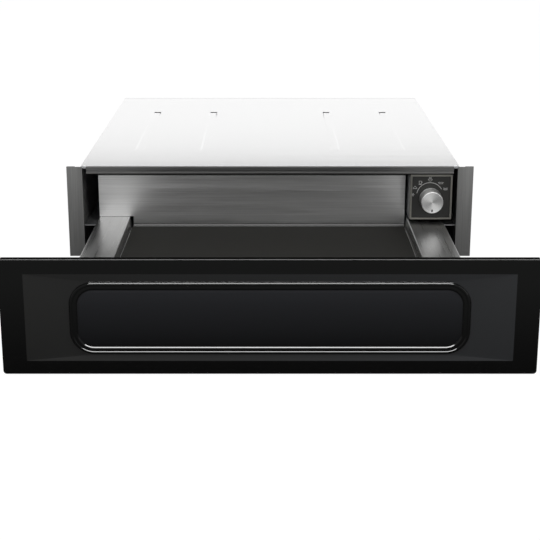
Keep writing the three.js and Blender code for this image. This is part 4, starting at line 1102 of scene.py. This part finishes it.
# Bands of painted shade: the crease at the rear wall's foot, under the rear wall's head, along the strip's lower edge,
# and the stiles towards the floor.
WALL_FOOT_SHADE = (0.0045, 0.0055, 0.16)
WALL_HEAD_SHADE = (-0.0037, -0.0045, 0.06)
STRIP_EDGE_SHADE = (0.001, 0.0016, 0.05)
STILE_FOOT_SHADE = (-0.02, 0.12, 0.62)


class DRAWER_OT_sheets(Step, bpy.types.Operator):
    """Rounds the cut edges of the sheet metal that shows, and paints shade on the rear wall, the stiles and the strip
    """

    bl_idname = "drawer.sheets"
    bl_label = "Sheet metal"

    def run(self, settings):
        steel = settings.steel
        across = brushed("Brushed steel across", tuple(steel.brushed), (9, 900, 900), relief=1.0)
        foot, head = (corner.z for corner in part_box("rear_wall"))
        # Painted shade in the crease at the rear wall's foot and under its head, below the strip.
        paint_shade(across, foot, WALL_FOOT_SHADE)
        paint_shade(across, head, WALL_HEAD_SHADE)
        # The stiles take a lighter copy of the frame steel and the strip a darker one: painted light and painted
        # shade. Painted shade also darkens the stiles towards the floor and the strip along its lower edge.
        stiles = brushed("Brushed stile steel", darker(steel.frame, 1.07), (900, 900, 12), contrast=0.7)
        paint_shade(stiles, 0, STILE_FOOT_SHADE)
        strip = brushed("Brushed strip steel", darker(steel.frame, 0.6), (12, 900, 900))
        paint_shade(strip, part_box("top_strip")[0].z, STRIP_EDGE_SHADE)
        # Painted light: the cover's steel is made near white, far brighter than the housing's galvanised steel, so
        # that it fades into the white backdrop.
        bright = surface(
            "Bright cover steel", brushing(), {"Stretch": (6, 500, 500)}, ((0.9, 0.9, 0.9, 1), (0.98, 0.98, 0.98, 1)),
            (0.12, 0.18), 0.02, 0.00001, Metallic=1.0)
        for node, own in (
                ("rear_wall", across), ("tray", None), ("stile_right", stiles), ("stile_left", stiles),
                ("control_frame", None), ("drawer_mat", None), ("top_strip", strip), ("top_cover", bright)):
            refined(node, own or finish_of(slot_of(node), settings), steel.edge)


class DRAWER_OT_dial(Step, bpy.types.Operator):
    """Builds the turned knob and the print round it"""

    bl_idname = "drawer.dial"
    bl_label = "Knob and dial"

    def run(self, settings):
        dial_knob(settings)
        dial_print(settings)


class DRAWER_OT_runners(Step, bpy.types.Operator):
    """Builds the ball cages of the runners with their rows of balls"""

    bl_idname = "drawer.runners"
    bl_label = "Ball cages"

    def run(self, settings):
        for place_in in ("outer", "inner"):
            for side in ("right", "left"):
                ball_cage(f"ball_cage_{place_in}_{side}", settings)


class DRAWER_OT_heating(Step, bpy.types.Operator):
    """Builds the heating rod, the fan wheel and the cable gland"""

    bl_idname = "drawer.heating"
    bl_label = "Heating unit"

    def run(self, settings):
        heater(settings)
        impeller(settings)
        gland(settings)


class DRAWER_OT_fixings(Step, bpy.types.Operator):
    """Adds the screws of the housing, the runners and the front"""

    bl_idname = "drawer.fixings"
    bl_label = "Screws"

    def run(self, settings):
        fixings(settings)


class DRAWER_PT_panel(bpy.types.Panel):
    """Lists the steps and their settings"""

    bl_label = "Warming Drawer"
    bl_idname = "DRAWER_PT_panel"
    bl_space_type = "VIEW_3D"
    bl_region_type = "UI"
    bl_category = "Warming Drawer"

    def draw(self, context):
        settings = context.scene.warming_drawer
        for step in STEPS:
            self.layout.operator(step.bl_idname)
        for group in (settings.studio, settings.front, settings.steel, settings.dial):
            box = self.layout.box()
            for name in group.bl_rna.properties.keys():
                if name not in ("name", "rna_type"):
                    box.prop(group, name)


STEPS = (
    DRAWER_OT_studio, DRAWER_OT_finishes, DRAWER_OT_front, DRAWER_OT_sheets, DRAWER_OT_dial, DRAWER_OT_runners,
    DRAWER_OT_heating, DRAWER_OT_fixings,
)
CLASSES = (StudioSettings, FrontSettings, SteelSettings, DialSettings, DrawerSettings, *STEPS, DRAWER_PT_panel)


def register():
    for cls in CLASSES:
        bpy.utils.register_class(cls)
    bpy.types.Scene.warming_drawer = PointerProperty(type=DrawerSettings)


def unregister():
    del bpy.types.Scene.warming_drawer
    for cls in reversed(CLASSES):
        bpy.utils.unregister_class(cls)


def main():
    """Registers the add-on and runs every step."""
    register()
    bpy.ops.drawer.studio()
    bpy.ops.drawer.finishes()
    bpy.ops.drawer.front()
    bpy.ops.drawer.sheets()
    bpy.ops.drawer.dial()
    bpy.ops.drawer.runners()
    bpy.ops.drawer.heating()
    bpy.ops.drawer.fixings()
    bpy.context.view_layer.update()


if __name__ == "__main__":
    main()
